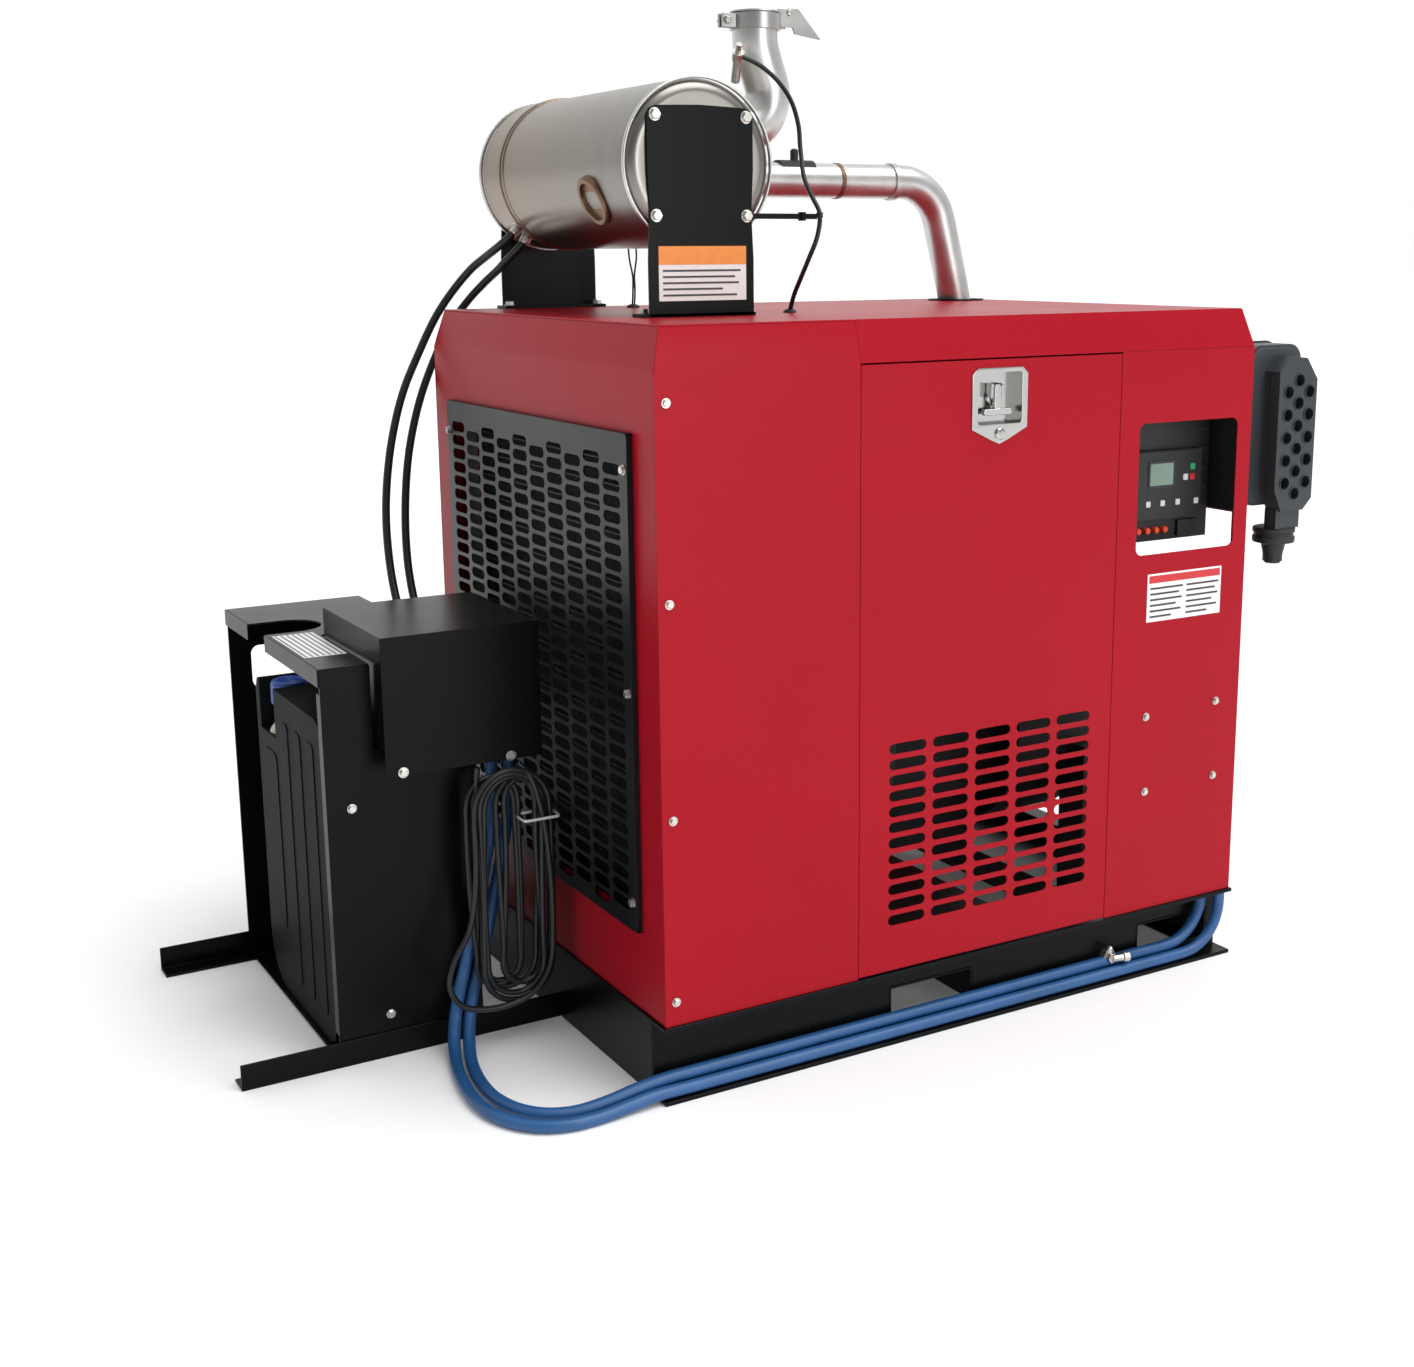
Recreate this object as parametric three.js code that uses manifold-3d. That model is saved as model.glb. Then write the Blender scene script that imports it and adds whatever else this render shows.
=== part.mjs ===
// An enclosed diesel power unit: an engine in a sheet-metal enclosure on a skid, with its exhaust
// catalyst on the roof and a free-standing fluid tank stand beside the radiator end.
// Millimetres, +Z up. The enclosure's near lower corner is the origin of the drawing; the finished
// model is moved so that its own origin is the middle of its footprint on the floor.
import * as THREE from "three";
import { mergeVertices } from "three/addons/utils/BufferGeometryUtils.js";
import Module from "manifold-3d";

const wasm = await Module();
wasm.setup();

// Driving dimensions
const GAP = 0.3; // between neighbouring pieces
const SHEET = 3;
const LENGTH = 1360; // enclosure along X
const WIDTH = 1024; // enclosure along Y
const BASE_Z = 148; // underside of the enclosure panels
const BREAK_Z = 1300; // where the walls bend into the roof bevel
const ROOF_Z = 1376;
const BEVEL = 20;
const SEAM_1 = 407; // front corner panel to door
const SEAM_2 = 1010; // door to control panel
const MID_Y = WIDTH / 2;

const SKID = { overhang: 5, web: 48, plate: 5, flange: 8 };
const POCKET = { starts: [513, 1145], wide: 190, low: 30, high: 90, wall: 5 };

const GRILLE = { y0: 84, y1: 930, z0: 300, z1: 1193, deep: 12, columns: 5, rows: 12 };
const SLOTS = { x: 474, z: 241, wide: 84, high: 20, pitchX: 99.2, pitchZ: 30.6, columns: 5, rows: 12 };
const WINDOW = { x0: 1061, x1: 1323, z0: 897, z1: 1159, r: 16 };
const DRIVE_OPENING_Z = 958;

const LATCH = { x: 714, z: 1226, wide: 128, top: 1282, shoulder: 1170, tip: 1141, fold: 1246 };

const CRANK = { y: MID_Y, z: 470 };

const CANISTER = { x: 258, z: 1650, r: 151, y0: 309, y1: 994, plate: 6 };
const BRACKET = { x0: 149, x1: 367, top: 1752, armTip: 507 };
const INLET = { r: 38, y: 850, roofX: 1238, bendX: 1075, lean: THREE.MathUtils.degToRad(15) };
const OUTLET = { r: 44.5, x: 506, y: 530, top: 1938 };
const FLAP = { hingeX: OUTLET.x + 68, hingeZ: 1951 };

const CLEANER = { x0: 1385, x1: 1540, y0: 36, y1: 300, z0: 965, z1: 1300 };
const VALVE = { x: 1482, y: 40 };

const RAIL = { x0: -636, nearY: 452, farY: 1112, leg: 50, plate: 5 };
const STAND = { x0: -450, x1: -165, top: 765, lip: 33, stripX: -358, slotY: 866, slotR: 62, slotX: -385 };
const TANK = { x0: -440, x1: -190, y0: 512, y1: 945, z0: 10, z1: 654, r: 105 };
const FILLER = { x: -392, y: 866, floor: 553, rim: 609, top: 659 };
const COVER = { x0: -352, x1: -46, y0: 405, y1: 744, z0: 610, z1: 820, frontZ: 560 };

const DISPLAY_Y = 80; // face of the control module behind the window

// Colours and finishes
const FINISH = {
  red: { color: 0xb22230, roughness: 0.35, metalness: 0.1 },
  black: { color: 0x141a1a, roughness: 0.4, metalness: 0.1 },
  cast: { color: 0x3a3d40, roughness: 0.7, metalness: 0.4 },
  stainless: { color: 0x96918a, roughness: 0.3, metalness: 0.9 },
  bright: { color: 0xc8c8c8, roughness: 0.35, metalness: 0.9 },
  plastic: { color: 0x2a2d2f, roughness: 0.6, metalness: 0 },
  rubber: { color: 0x15181a, roughness: 0.8, metalness: 0 },
  hose: { color: 0x2d5fa5, roughness: 0.5, metalness: 0 },
  cap: { color: 0x284696, roughness: 0.4, metalness: 0 },
  green: { color: 0x1f9a5a, roughness: 0.5, metalness: 0 },
  stop: { color: 0xc02030, roughness: 0.5, metalness: 0 },
  pale: { color: 0xc9cdd0, roughness: 0.5, metalness: 0 },
};

// Solids

function solidOf(geometry) {
  const bare = new THREE.BufferGeometry();
  bare.setAttribute("position", geometry.getAttribute("position"));
  bare.setIndex(geometry.getIndex());
  const merged = mergeVertices(bare, 1e-4);
  return new wasm.Manifold(
    new wasm.Mesh({
      numProp: 3,
      vertProperties: merged.getAttribute("position").array,
      triVerts: new Uint32Array(merged.getIndex().array),
    }),
  );
}

const join = (...solids) => solids.reduce((sum, solid) => sum.add(solid));
const cut = (body, ...tools) => tools.reduce((left, tool) => left.subtract(tool), body);

function block([x0, x1], [y0, y1], [z0, z1]) {
  const box = new THREE.BoxGeometry(x1 - x0, y1 - y0, z1 - z0);
  return solidOf(box.translate((x0 + x1) / 2, (y0 + y1) / 2, (z0 + z1) / 2));
}

// A flat outline pushed along one axis. Its two coordinates are the other two axes in XYZ order.
function prism(shape, axis, from, to, curveSegments = 6) {
  const settings = { depth: to - from, bevelEnabled: false, curveSegments };
  const geometry = new THREE.ExtrudeGeometry(shape, settings);
  if (axis === "x") {
    geometry.rotateX(Math.PI / 2).rotateZ(Math.PI / 2).translate(from, 0, 0);
  } else if (axis === "y") {
    geometry.rotateX(Math.PI / 2).translate(0, to, 0);
  } else {
    geometry.translate(0, 0, from);
  }
  return solidOf(geometry);
}

const outline = (points) => new THREE.Shape(points.map(([u, v]) => new THREE.Vector2(u, v)));

function roundedOutline(u0, u1, v0, v1, r) {
  const shape = new THREE.Shape();
  shape.absarc(u1 - r, v0 + r, r, -Math.PI / 2, 0);
  shape.absarc(u1 - r, v1 - r, r, 0, Math.PI / 2);
  shape.absarc(u0 + r, v1 - r, r, Math.PI / 2, Math.PI);
  shape.absarc(u0 + r, v0 + r, r, Math.PI, 1.5 * Math.PI);
  return shape;
}

function polygon(u, v, r, sides) {
  const angles = Array.from({ length: sides }, (_, i) => (2 * Math.PI * (i + 0.5)) / sides);
  return outline(angles.map((a) => [u + r * Math.cos(a), v + r * Math.sin(a)]));
}

const disc = (axis, [u, v], from, to, r, sides = 24) =>
  prism(polygon(u, v, r, sides), axis, from, to);

// A turned solid: profile points are [radius, position along the axis], closed on the axis.
function turned(profile, axis, [x, y, z], sides = 24) {
  const geometry = new THREE.LatheGeometry(
    profile.map(([r, h]) => new THREE.Vector2(r, h)),
    sides,
  );
  if (axis === "x") geometry.rotateZ(-Math.PI / 2);
  if (axis === "z") geometry.rotateX(Math.PI / 2);
  return solidOf(geometry.translate(x, y, z));
}

const toVectors = (points) => points.map(([x, y, z]) => new THREE.Vector3(x, y, z));

function tube(points, r, { sides = 10, steps = 24 } = {}) {
  const path = new THREE.CatmullRomCurve3(toVectors(points), false, "centripetal");
  const settings = { steps, extrudePath: path, bevelEnabled: false };
  return solidOf(new THREE.ExtrudeGeometry(polygon(0, 0, r, sides), settings));
}

// Points on an arc in the XZ plane at one Y, measured in degrees from +X towards +Z.
function arcPoints(centreX, y, centreZ, r, fromDeg, toDeg, count) {
  return Array.from({ length: count }, (_, i) => {
    const a = THREE.MathUtils.degToRad(fromDeg + ((toDeg - fromDeg) * i) / (count - 1));
    return [centreX + r * Math.cos(a), y, centreZ + r * Math.sin(a)];
  });
}

// The scene graph
const machine = new THREE.Group();

function add(name, solid, finish) {
  const mesh = solid.getMesh();
  const geometry = new THREE.BufferGeometry();
  geometry.setAttribute("position", new THREE.BufferAttribute(mesh.vertProperties, 3));
  geometry.setIndex(new THREE.BufferAttribute(mesh.triVerts, 1));
  geometry.computeVertexNormals();
  const made = new THREE.Mesh(geometry, new THREE.MeshStandardMaterial(FINISH[finish]));
  made.name = name;
  machine.add(made);
}

// Skid: two outward channels, two end channels and two fork tubes, open below between the channels

const pocketX = POCKET.starts.map((start) => [start, start + POCKET.wide]);
const tubeX = pocketX.map(([a, b]) => [a - POCKET.wall, b + POCKET.wall]);
const tubeZ = [POCKET.low - POCKET.wall, POCKET.high + POCKET.wall];
const grow = ([a, b], by) => [a - by, b + by];

function skidChannel(outer, side) {
  const at = (distance) => outer + side * distance;
  const { web, plate, flange, overhang } = SKID;
  const top = BASE_Z - GAP;
  const section = outline([
    [at(0), 0],
    [at(overhang + web), 0],
    [at(overhang + web), top],
    [at(0), top],
    [at(0), top - flange],
    [at(overhang + web - plate), top - flange],
    [at(overhang + web - plate), flange],
    [at(0), flange],
  ]);
  const channel = prism(section, "x", -SKID.overhang, LENGTH + SKID.overhang);
  const openings = tubeX.map((x) =>
    block(grow(x, GAP), [-overhang - 1, WIDTH + overhang + 1], grow(tubeZ, GAP)),
  );
  return cut(channel, ...openings);
}
add("skid_channel_front", skidChannel(-SKID.overhang, 1), "black");
add("skid_channel_rear", skidChannel(WIDTH + SKID.overhang, -1), "black");

function skidEnd(outer, side) {
  const at = (distance) => outer + side * distance;
  const { web, plate, flange } = SKID;
  const top = BASE_Z - GAP;
  const section = outline([
    [at(0), 0],
    [at(web), 0],
    [at(web), flange],
    [at(plate), flange],
    [at(plate), top - flange],
    [at(web), top - flange],
    [at(web), top],
    [at(0), top],
  ]);
  return prism(section, "y", web + GAP, WIDTH - web - GAP);
}
add("skid_end_left", skidEnd(-SKID.overhang, 1), "black");
add("skid_end_right", skidEnd(LENGTH + SKID.overhang, -1), "black");

["fork_tube_left", "fork_tube_right"].forEach((name, i) => {
  const webFace = SKID.web - SKID.plate;
  const span = [webFace, WIDTH - webFace];
  const bore = block(pocketX[i], grow(span, 1), [POCKET.low, POCKET.high]);
  const openBelow = block(pocketX[i], grow(span, -20), [0, POCKET.high]);
  add(name, cut(block(tubeX[i], span, tubeZ), bore, openBelow), "black");
});

// Enclosure sheets

const bevelIn = (z) => (BEVEL * (z - BREAK_Z)) / (ROOF_Z - BREAK_Z);
const sheetTop = ROOF_Z - SHEET - GAP; // wall sheets stop just under the flat roof sheet

function bentSheet(outer, side) {
  const at = (distance) => outer + side * distance;
  return outline([
    [at(0), BASE_Z],
    [at(0), BREAK_Z],
    [at(bevelIn(sheetTop)), sheetTop],
    [at(bevelIn(sheetTop) + SHEET), sheetTop],
    [at(SHEET), BREAK_Z],
    [at(SHEET), BASE_Z],
  ]);
}

const CUT_REACH = 60; // how far the mitre cutters reach past a corner
const mitre = (corners) => prism(outline(corners), "z", BASE_Z - 1, ROOF_Z + 1);

const radiatorSheet = prism(bentSheet(0, 1), "y", SHEET + GAP, WIDTH - SHEET - GAP);
const GRILLE_RIM = 22; // how far the grille overlaps the sheet round its opening
const grilleHole = block(
  [-1, SHEET + 1],
  [GRILLE.y0 + GRILLE_RIM, GRILLE.y1 - GRILLE_RIM],
  [GRILLE.z0 + GRILLE_RIM, GRILLE.z1 - GRILLE_RIM],
);
add(
  "radiator_end_panel",
  cut(
    radiatorSheet,
    mitre([
      [-CUT_REACH, -CUT_REACH],
      [CUT_REACH, -CUT_REACH],
      [CUT_REACH, CUT_REACH],
    ]),
    mitre([
      [-CUT_REACH, WIDTH + CUT_REACH],
      [CUT_REACH, WIDTH - CUT_REACH],
      [CUT_REACH, WIDTH + CUT_REACH],
    ]),
    grilleHole,
  ),
  "red",
);

add(
  "front_corner_panel",
  cut(
    prism(bentSheet(0, 1), "x", 0, SEAM_1 - GAP),
    prism(
      outline([
        [-CUT_REACH, -CUT_REACH - GAP],
        [CUT_REACH, CUT_REACH - GAP],
        [-CUT_REACH, CUT_REACH - GAP],
      ]),
      "z",
      BREAK_Z,
      ROOF_Z + 1,
    ),
  ),
  "red",
);

const slotTools = [];
for (let column = 0; column < SLOTS.columns; column++) {
  for (let row = 0; row < SLOTS.rows; row++) {
    const x = SLOTS.x + column * SLOTS.pitchX;
    const z = SLOTS.z + row * SLOTS.pitchZ;
    slotTools.push(block([x, x + SLOTS.wide], [-1, SHEET + 1], [z, z + SLOTS.high]));
  }
}
const DOOR = { x0: SEAM_1 + 1, x1: SEAM_2 - 1, z0: BASE_Z + 3, z1: BREAK_Z - 3, fold: 18 };
const PAN = { x0: 660.5, x1: 767.5, z0: 1176, z1: 1276, deep: 26, wall: 2.5 };
add(
  "service_door",
  cut(
    block([DOOR.x0, DOOR.x1], [0, DOOR.fold], [DOOR.z0, DOOR.z1]),
    block(
      grow([DOOR.x0, DOOR.x1], -SHEET),
      [SHEET, DOOR.fold + 1],
      [DOOR.z0 - 1, DOOR.z1 - SHEET],
    ),
    block(grow([DOOR.x0, DOOR.x1], 1), [SHEET, DOOR.fold + 1], [DOOR.z0 - 1, DOOR.z0 + 20]),
    block(grow([PAN.x0, PAN.x1], GAP), [-1, SHEET + 1], grow([PAN.z0, PAN.z1], GAP)),
    ...slotTools,
  ),
  "red",
);

add(
  "control_end_panel",
  cut(
    block([SEAM_2 + GAP, LENGTH], [0, SHEET], [BASE_Z, BREAK_Z - GAP]),
    prism(roundedOutline(WINDOW.x0, WINDOW.x1, WINDOW.z0, WINDOW.z1, WINDOW.r), "y", -1, SHEET + 1),
  ),
  "red",
);

add(
  "rear_panel",
  block([0, LENGTH], [WIDTH - SHEET, WIDTH], [BASE_Z, BREAK_Z - GAP]),
  "red",
);

const DUCT_HOLE = { y: 240, z: 1150, r: 62 };
add(
  "drive_end_panel",
  cut(
    block([LENGTH - SHEET, LENGTH], [SHEET + GAP, WIDTH - SHEET - GAP], [BASE_Z, BREAK_Z - GAP]),
    block([LENGTH - SHEET - 1, LENGTH + 1], [40, WIDTH - 40], [BASE_Z - 1, DRIVE_OPENING_Z]),
    disc("x", [DUCT_HOLE.y, DUCT_HOLE.z], LENGTH - SHEET - 1, LENGTH + 1, DUCT_HOLE.r, 20),
  ),
  "red",
);

// A frustum with the enclosure's footprint, drawn in by one sheet where asked.
function hood(inset) {
  const low = [inset, LENGTH - inset, inset, WIDTH - inset];
  const topZ = ROOF_Z - inset;
  const s = BEVEL;
  const high = [low[0] + s, low[1] - s, low[2] + s, low[3] - s];
  const ring = ([x0, x1, y0, y1], z) => [
    [x0, y0, z],
    [x1, y0, z],
    [x1, y1, z],
    [x0, y1, z],
  ];
  const corners = [...ring(low, BREAK_Z - (inset ? 1 : 0)), ...ring(high, topZ)];
  const geometry = new THREE.BufferGeometry();
  geometry.setAttribute("position", new THREE.Float32BufferAttribute(corners.flat(), 3));
  const walls = [0, 1, 2, 3].flatMap((i) => {
    const next = (i + 1) % 4;
    return [i, next, 4 + next, i, 4 + next, 4 + i];
  });
  geometry.setIndex([0, 2, 1, 0, 3, 2, 4, 5, 6, 4, 6, 7, ...walls]);
  return solidOf(geometry);
}
const HIP = 26; // plan distance that clears the bent-in tops of the wall sheets
const wallTopRoom = (corners) => prism(outline(corners), "z", BREAK_Z - 2, ROOF_Z - SHEET);
add(
  "roof_panel",
  cut(
    hood(0),
    hood(SHEET),
    wallTopRoom([
      [-HIP, -HIP],
      [HIP, HIP],
      [HIP, WIDTH - HIP],
      [-HIP, WIDTH + HIP],
    ]),
    wallTopRoom([
      [-HIP, -HIP],
      [SEAM_1, -HIP],
      [SEAM_1, HIP],
      [HIP, HIP],
    ]),
    disc("z", [INLET.roofX, INLET.y], ROOF_Z - SHEET - 1, ROOF_Z + 1, 54, 24),
  ),
  "red",
);

// Latch in the door: pan, turning spindle and folding T-handle

const panFront = -2.5;
const bezel = outline([
  [LATCH.x - LATCH.wide / 2, LATCH.shoulder],
  [LATCH.x - 20, LATCH.tip + 8],
  [LATCH.x, LATCH.tip],
  [LATCH.x + 20, LATCH.tip + 8],
  [LATCH.x + LATCH.wide / 2, LATCH.shoulder],
  [LATCH.x + LATCH.wide / 2, LATCH.top - 12],
  [LATCH.x + LATCH.wide / 2 - 12, LATCH.top],
  [LATCH.x - LATCH.wide / 2 + 12, LATCH.top],
  [LATCH.x - LATCH.wide / 2, LATCH.top - 12],
]);
add(
  "latch_pan",
  cut(
    join(
      prism(bezel, "y", panFront, -GAP),
      block([PAN.x0, PAN.x1], [panFront, PAN.deep], [PAN.z0, PAN.z1]),
    ),
    block(
      grow([PAN.x0, PAN.x1], -PAN.wall),
      [panFront - 1, PAN.deep - PAN.wall],
      grow([PAN.z0, PAN.z1], -PAN.wall),
    ),
    disc("y", [LATCH.x, LATCH.z], PAN.deep - PAN.wall - 1, PAN.deep + 1, 8.5, 16),
  ),
  "bright",
);
const lug = (x) => block([x - 3, x + 3], [5, 22], [LATCH.z, LATCH.fold + 6]);
add(
  "latch_spindle",
  join(
    disc("y", [LATCH.x, LATCH.z], 14, 22, 12, 16),
    disc("y", [LATCH.x, LATCH.z], 14, 55, 8, 16),
    lug(LATCH.x - 12),
    lug(LATCH.x + 12),
    block([LATCH.x - 8, LATCH.x + 8], [48, 53], [LATCH.z, LATCH.z + 62]),
  ),
  "bright",
);
add(
  "latch_handle",
  join(
    block([LATCH.x - 8, LATCH.x + 8], [4, 12.5], [LATCH.z - 22, LATCH.fold + 4.5]),
    block([LATCH.x - 33, LATCH.x + 33], [3, 13], [LATCH.z - 32, LATCH.z - 20]),
  ),
  "bright",
);

// Cooling pack at the radiator end

const grilleBars = [];
const grilleField = { y0: GRILLE.y0 + 30, y1: GRILLE.y1 - 30, z0: GRILLE.z0 + 50, z1: GRILLE.z1 - 40 };
const barY = (grilleField.y1 - grilleField.y0) / GRILLE.columns;
const barZ = (grilleField.z1 - grilleField.z0) / GRILLE.rows;
const WEB = 12; // metal left between the grille's openings
for (let column = 0; column < GRILLE.columns; column++) {
  for (let row = 0; row < GRILLE.rows; row++) {
    const y = grilleField.y0 + column * barY;
    const z = grilleField.z0 + row * barZ;
    const openY = [y + WEB / 2, y + barY - WEB / 2];
    const openZ = [z + WEB / 2, z + barZ - WEB / 2];
    grilleBars.push(block([-GRILLE.deep - 1, GRILLE.deep], openY, openZ));
  }
}
add(
  "radiator_grille",
  cut(
    block([-GRILLE.deep, -GAP], [GRILLE.y0, GRILLE.y1], [GRILLE.z0, GRILLE.z1]),
    block(
      [-GRILLE.deep + 2, 1],
      grow([GRILLE.y0, GRILLE.y1], -2),
      grow([GRILLE.z0, GRILLE.z1], -2),
    ),
    ...grilleBars,
  ),
  "black",
);
const RADIATOR = { x0: 45, x1: 125, y0: 120, y1: 904, z0: 200, z1: 1210 };
const TANK_HIGH = 70;
add(
  "radiator_core",
  join(
    block([RADIATOR.x0 + 10, RADIATOR.x1 - 10], [RADIATOR.y0, RADIATOR.y1], [RADIATOR.z0, RADIATOR.z1]),
    block([RADIATOR.x0, RADIATOR.x1], [RADIATOR.y0, RADIATOR.y1], [RADIATOR.z1 - TANK_HIGH, RADIATOR.z1]),
    block([RADIATOR.x0, RADIATOR.x1], [RADIATOR.y0, RADIATOR.y1], [RADIATOR.z0, RADIATOR.z0 + TANK_HIGH]),
    ...[160, 820].map((y) => block([60, 110], [y, y + 44], [BASE_Z, RADIATOR.z0 + 1])),
  ),
  "cast",
);
const FAN = { r: 320, z: 640, x0: 165 };
const BELT = { x0: 198, x1: 212, fanR: 74, crankR: 85 }; // the two pulleys share one plane
const shroudBox = [[RADIATOR.x1 + GAP, 205], [150, 874], [290, 1130]];
add(
  "fan_shroud",
  cut(
    block(...shroudBox),
    block([RADIATOR.x1 - 1, 200], [155, 869], [295, 1125]),
    disc("x", [CRANK.y, FAN.z], 190, 206, FAN.r + 12, 32),
  ),
  "plastic",
);
const hub = disc("x", [CRANK.y, FAN.z], FAN.x0, 215, 48, 16);
const blades = Array.from({ length: 8 }, (_, i) => {
  const blade = block([FAN.x0 + 8, FAN.x0 + 16], [-34, 34], [40, FAN.r]);
  const angle = (360 / 8) * i;
  return blade.rotate([angle, 0, 0]).translate([0, CRANK.y, FAN.z]);
});
const fanPulley = disc("x", [CRANK.y, FAN.z], BELT.x0, BELT.x1, BELT.fanR, 24);
add("cooling_fan", join(hub, fanPulley, ...blades), "plastic");

// Engine

const BLOCK = { x0: 300, x1: 1000, half: 150, z0: 340, z1: 760 };
const footY = [CRANK.y - 262, CRANK.y + 182];
const blockFoot = (y) =>
  join(
    block([570, 640], [y, y + 80], [POCKET.high + POCKET.wall + GAP, 400]),
    block([570, 640], [Math.min(y, CRANK.y), Math.max(y + 80, CRANK.y)], [370, 400]),
  );
add(
  "engine_block",
  join(
    block([BLOCK.x0, BLOCK.x1], [CRANK.y - BLOCK.half, CRANK.y + BLOCK.half], [BLOCK.z0, BLOCK.z1]),
    block([BLOCK.x0 + 20, BLOCK.x1 - 20], [CRANK.y - 110, CRANK.y + 110], [220, BLOCK.z0 + 1]),
    blockFoot(footY[0]),
    blockFoot(footY[1]),
    block([215 + GAP, BLOCK.x0 + 1], [CRANK.y - 70, CRANK.y + 70], [560, 720]),
  ),
  "cast",
);
add(
  "cylinder_head",
  join(
    block([BLOCK.x0, BLOCK.x1], [CRANK.y - 130, CRANK.y + 130], [BLOCK.z1 + GAP, 870]),
    block([BLOCK.x0 + 20, BLOCK.x1 - 20], [CRANK.y - 90, CRANK.y + 90], [869, 940]),
  ),
  "cast",
);
const HOUSING = { x0: BLOCK.x1 + GAP, x1: 1200, r: 235 };
const housingFoot = (y) => block([1160, 1200], [y, y + 80], [POCKET.high + POCKET.wall + GAP, 430]);
add(
  "flywheel_housing",
  cut(
    join(
      disc("x", [CRANK.y, CRANK.z], HOUSING.x0, HOUSING.x1, HOUSING.r, 32),
      housingFoot(footY[0]),
      housingFoot(footY[1]),
    ),
    disc("x", [CRANK.y, CRANK.z], HOUSING.x0 + 60, HOUSING.x1 + 1, 205, 32),
    disc("x", [CRANK.y, CRANK.z], HOUSING.x0 - 1, HOUSING.x1, 46, 16),
  ),
  "cast",
);
add(
  "flywheel",
  join(
    disc("x", [CRANK.y, CRANK.z], 1110, 1150, 190, 32),
    disc("x", [CRANK.y, CRANK.z], HOUSING.x0 + 1, 1111, 40, 16),
    disc("x", [CRANK.y, CRANK.z], 1149, 1230, 45, 16),
  ),
  "bright",
);
add(
  "crank_pulley",
  join(
    disc("x", [CRANK.y, CRANK.z], BELT.x0, BELT.x1, BELT.crankR, 24),
    disc("x", [CRANK.y, CRANK.z], BELT.x1 - 1, BLOCK.x0 - GAP, 30, 16),
  ),
  "cast",
);
const TURBO = { x: 830, y: 740, z: 850 };
add(
  "turbocharger",
  join(
    block([BLOCK.x0 + 40, BLOCK.x1 - 40], [CRANK.y + 130 + GAP, CRANK.y + 170], [785, 845]),
    block([TURBO.x - 35, TURBO.x + 35], [CRANK.y + 165, TURBO.y], [800, 870]),
    disc("x", [TURBO.y, TURBO.z], TURBO.x - 80, TURBO.x + 80, 50, 16),
    disc("x", [TURBO.y, TURBO.z], TURBO.x + 20, TURBO.x + 75, 85, 20),
    disc("x", [TURBO.y, TURBO.z], TURBO.x - 75, TURBO.x - 25, 85, 20),
  ),
  "cast",
);

// Exhaust: riser, inlet pipe, catalyst canister on its brackets, outlet pipe, rain cap

const elbowR = 114;
const inletZ = CANISTER.z - 4;
const leanDeg = THREE.MathUtils.radToDeg(INLET.lean);
const elbow = arcPoints(INLET.bendX, INLET.y, inletZ - elbowR, elbowR, 90, leanDeg, 6);
const [legX, , legZ] = elbow[elbow.length - 1];
const legAt = (z) => [legX + (legZ - z) * Math.tan(INLET.lean), INLET.y, z];
const inletTop = 1345; // where the leaning leg meets the riser under the roof
const canisterEdge = CANISTER.x + CANISTER.r;
const ROUND = 32; // facets of the canister and of what is cut to meet it
const beadHigh = 3;
const canisterDisc = (y0, y1, r) => disc("y", [CANISTER.x, CANISTER.z], y0, y1, r, ROUND);
const canisterRoom = canisterDisc(CANISTER.y0, CANISTER.y1, CANISTER.r + beadHigh + GAP);
add(
  "exhaust_inlet_pipe",
  cut(
    join(
      tube(
        [[canisterEdge - 20, INLET.y, inletZ], [900, INLET.y, inletZ], ...elbow, legAt(inletTop)],
        INLET.r,
        { sides: 12, steps: 22 },
      ),
      disc("x", [INLET.y, inletZ], canisterEdge - 22, canisterEdge + 28, 47, 20),
      disc("x", [INLET.y, inletZ], 1040, 1056, INLET.r + 3, 16),
    ),
    canisterRoom,
  ),
  "bright",
);
add(
  "exhaust_riser",
  tube(
    [
      [TURBO.x + 81, TURBO.y, TURBO.z],
      [TURBO.x + 150, TURBO.y, TURBO.z],
      [1140, 800, 940],
      [1236, INLET.y, 1080],
      [1274, INLET.y, 1210],
      legAt(inletTop - 60),
      legAt(inletTop - 1),
    ],
    INLET.r - 2,
    { sides: 10, steps: 16 },
  ),
  "stainless",
);

const PORT = { y: 470, angle: -25, r: 48 };
const portBoss = disc("x", [0, 0], -CANISTER.r - 9, -CANISTER.r + 40, PORT.r, 16)
  .rotate([0, PORT.angle, 0])
  .translate([CANISTER.x, PORT.y, CANISTER.z]);
add(
  "catalyst_canister",
  join(
    canisterDisc(CANISTER.y0, CANISTER.y1, CANISTER.r),
    ...[CANISTER.y0, CANISTER.y1 - 110, CANISTER.y1 - 10].map((y) =>
      canisterDisc(y, y + 10, CANISTER.r + beadHigh),
    ),
    portBoss,
  ),
  "stainless",
);

const FOOT = 48;
function bracketPlate(face, side) {
  const reach = (depth) => [face, face + side * depth].sort((a, b) => a - b);
  const footX = [BRACKET.x0 - 12, BRACKET.x1 + 4];
  return join(
    block([BRACKET.x0, BRACKET.x1], reach(CANISTER.plate), [ROOF_Z + GAP, BRACKET.top]),
    block(footX, reach(FOOT), [ROOF_Z + GAP, ROOF_Z + CANISTER.plate]),
  );
}
const frontFace = CANISTER.y0 - GAP - CANISTER.plate;
const rearFace = CANISTER.y1 + GAP + CANISTER.plate;
add(
  "catalyst_bracket_front",
  join(
    bracketPlate(frontFace, 1),
    block([BRACKET.x1 - 6, BRACKET.armTip], [frontFace, frontFace + CANISTER.plate], [1552, 1562]),
  ),
  "black",
);
add("catalyst_bracket_rear", bracketPlate(rearFace, -1), "black");

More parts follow.
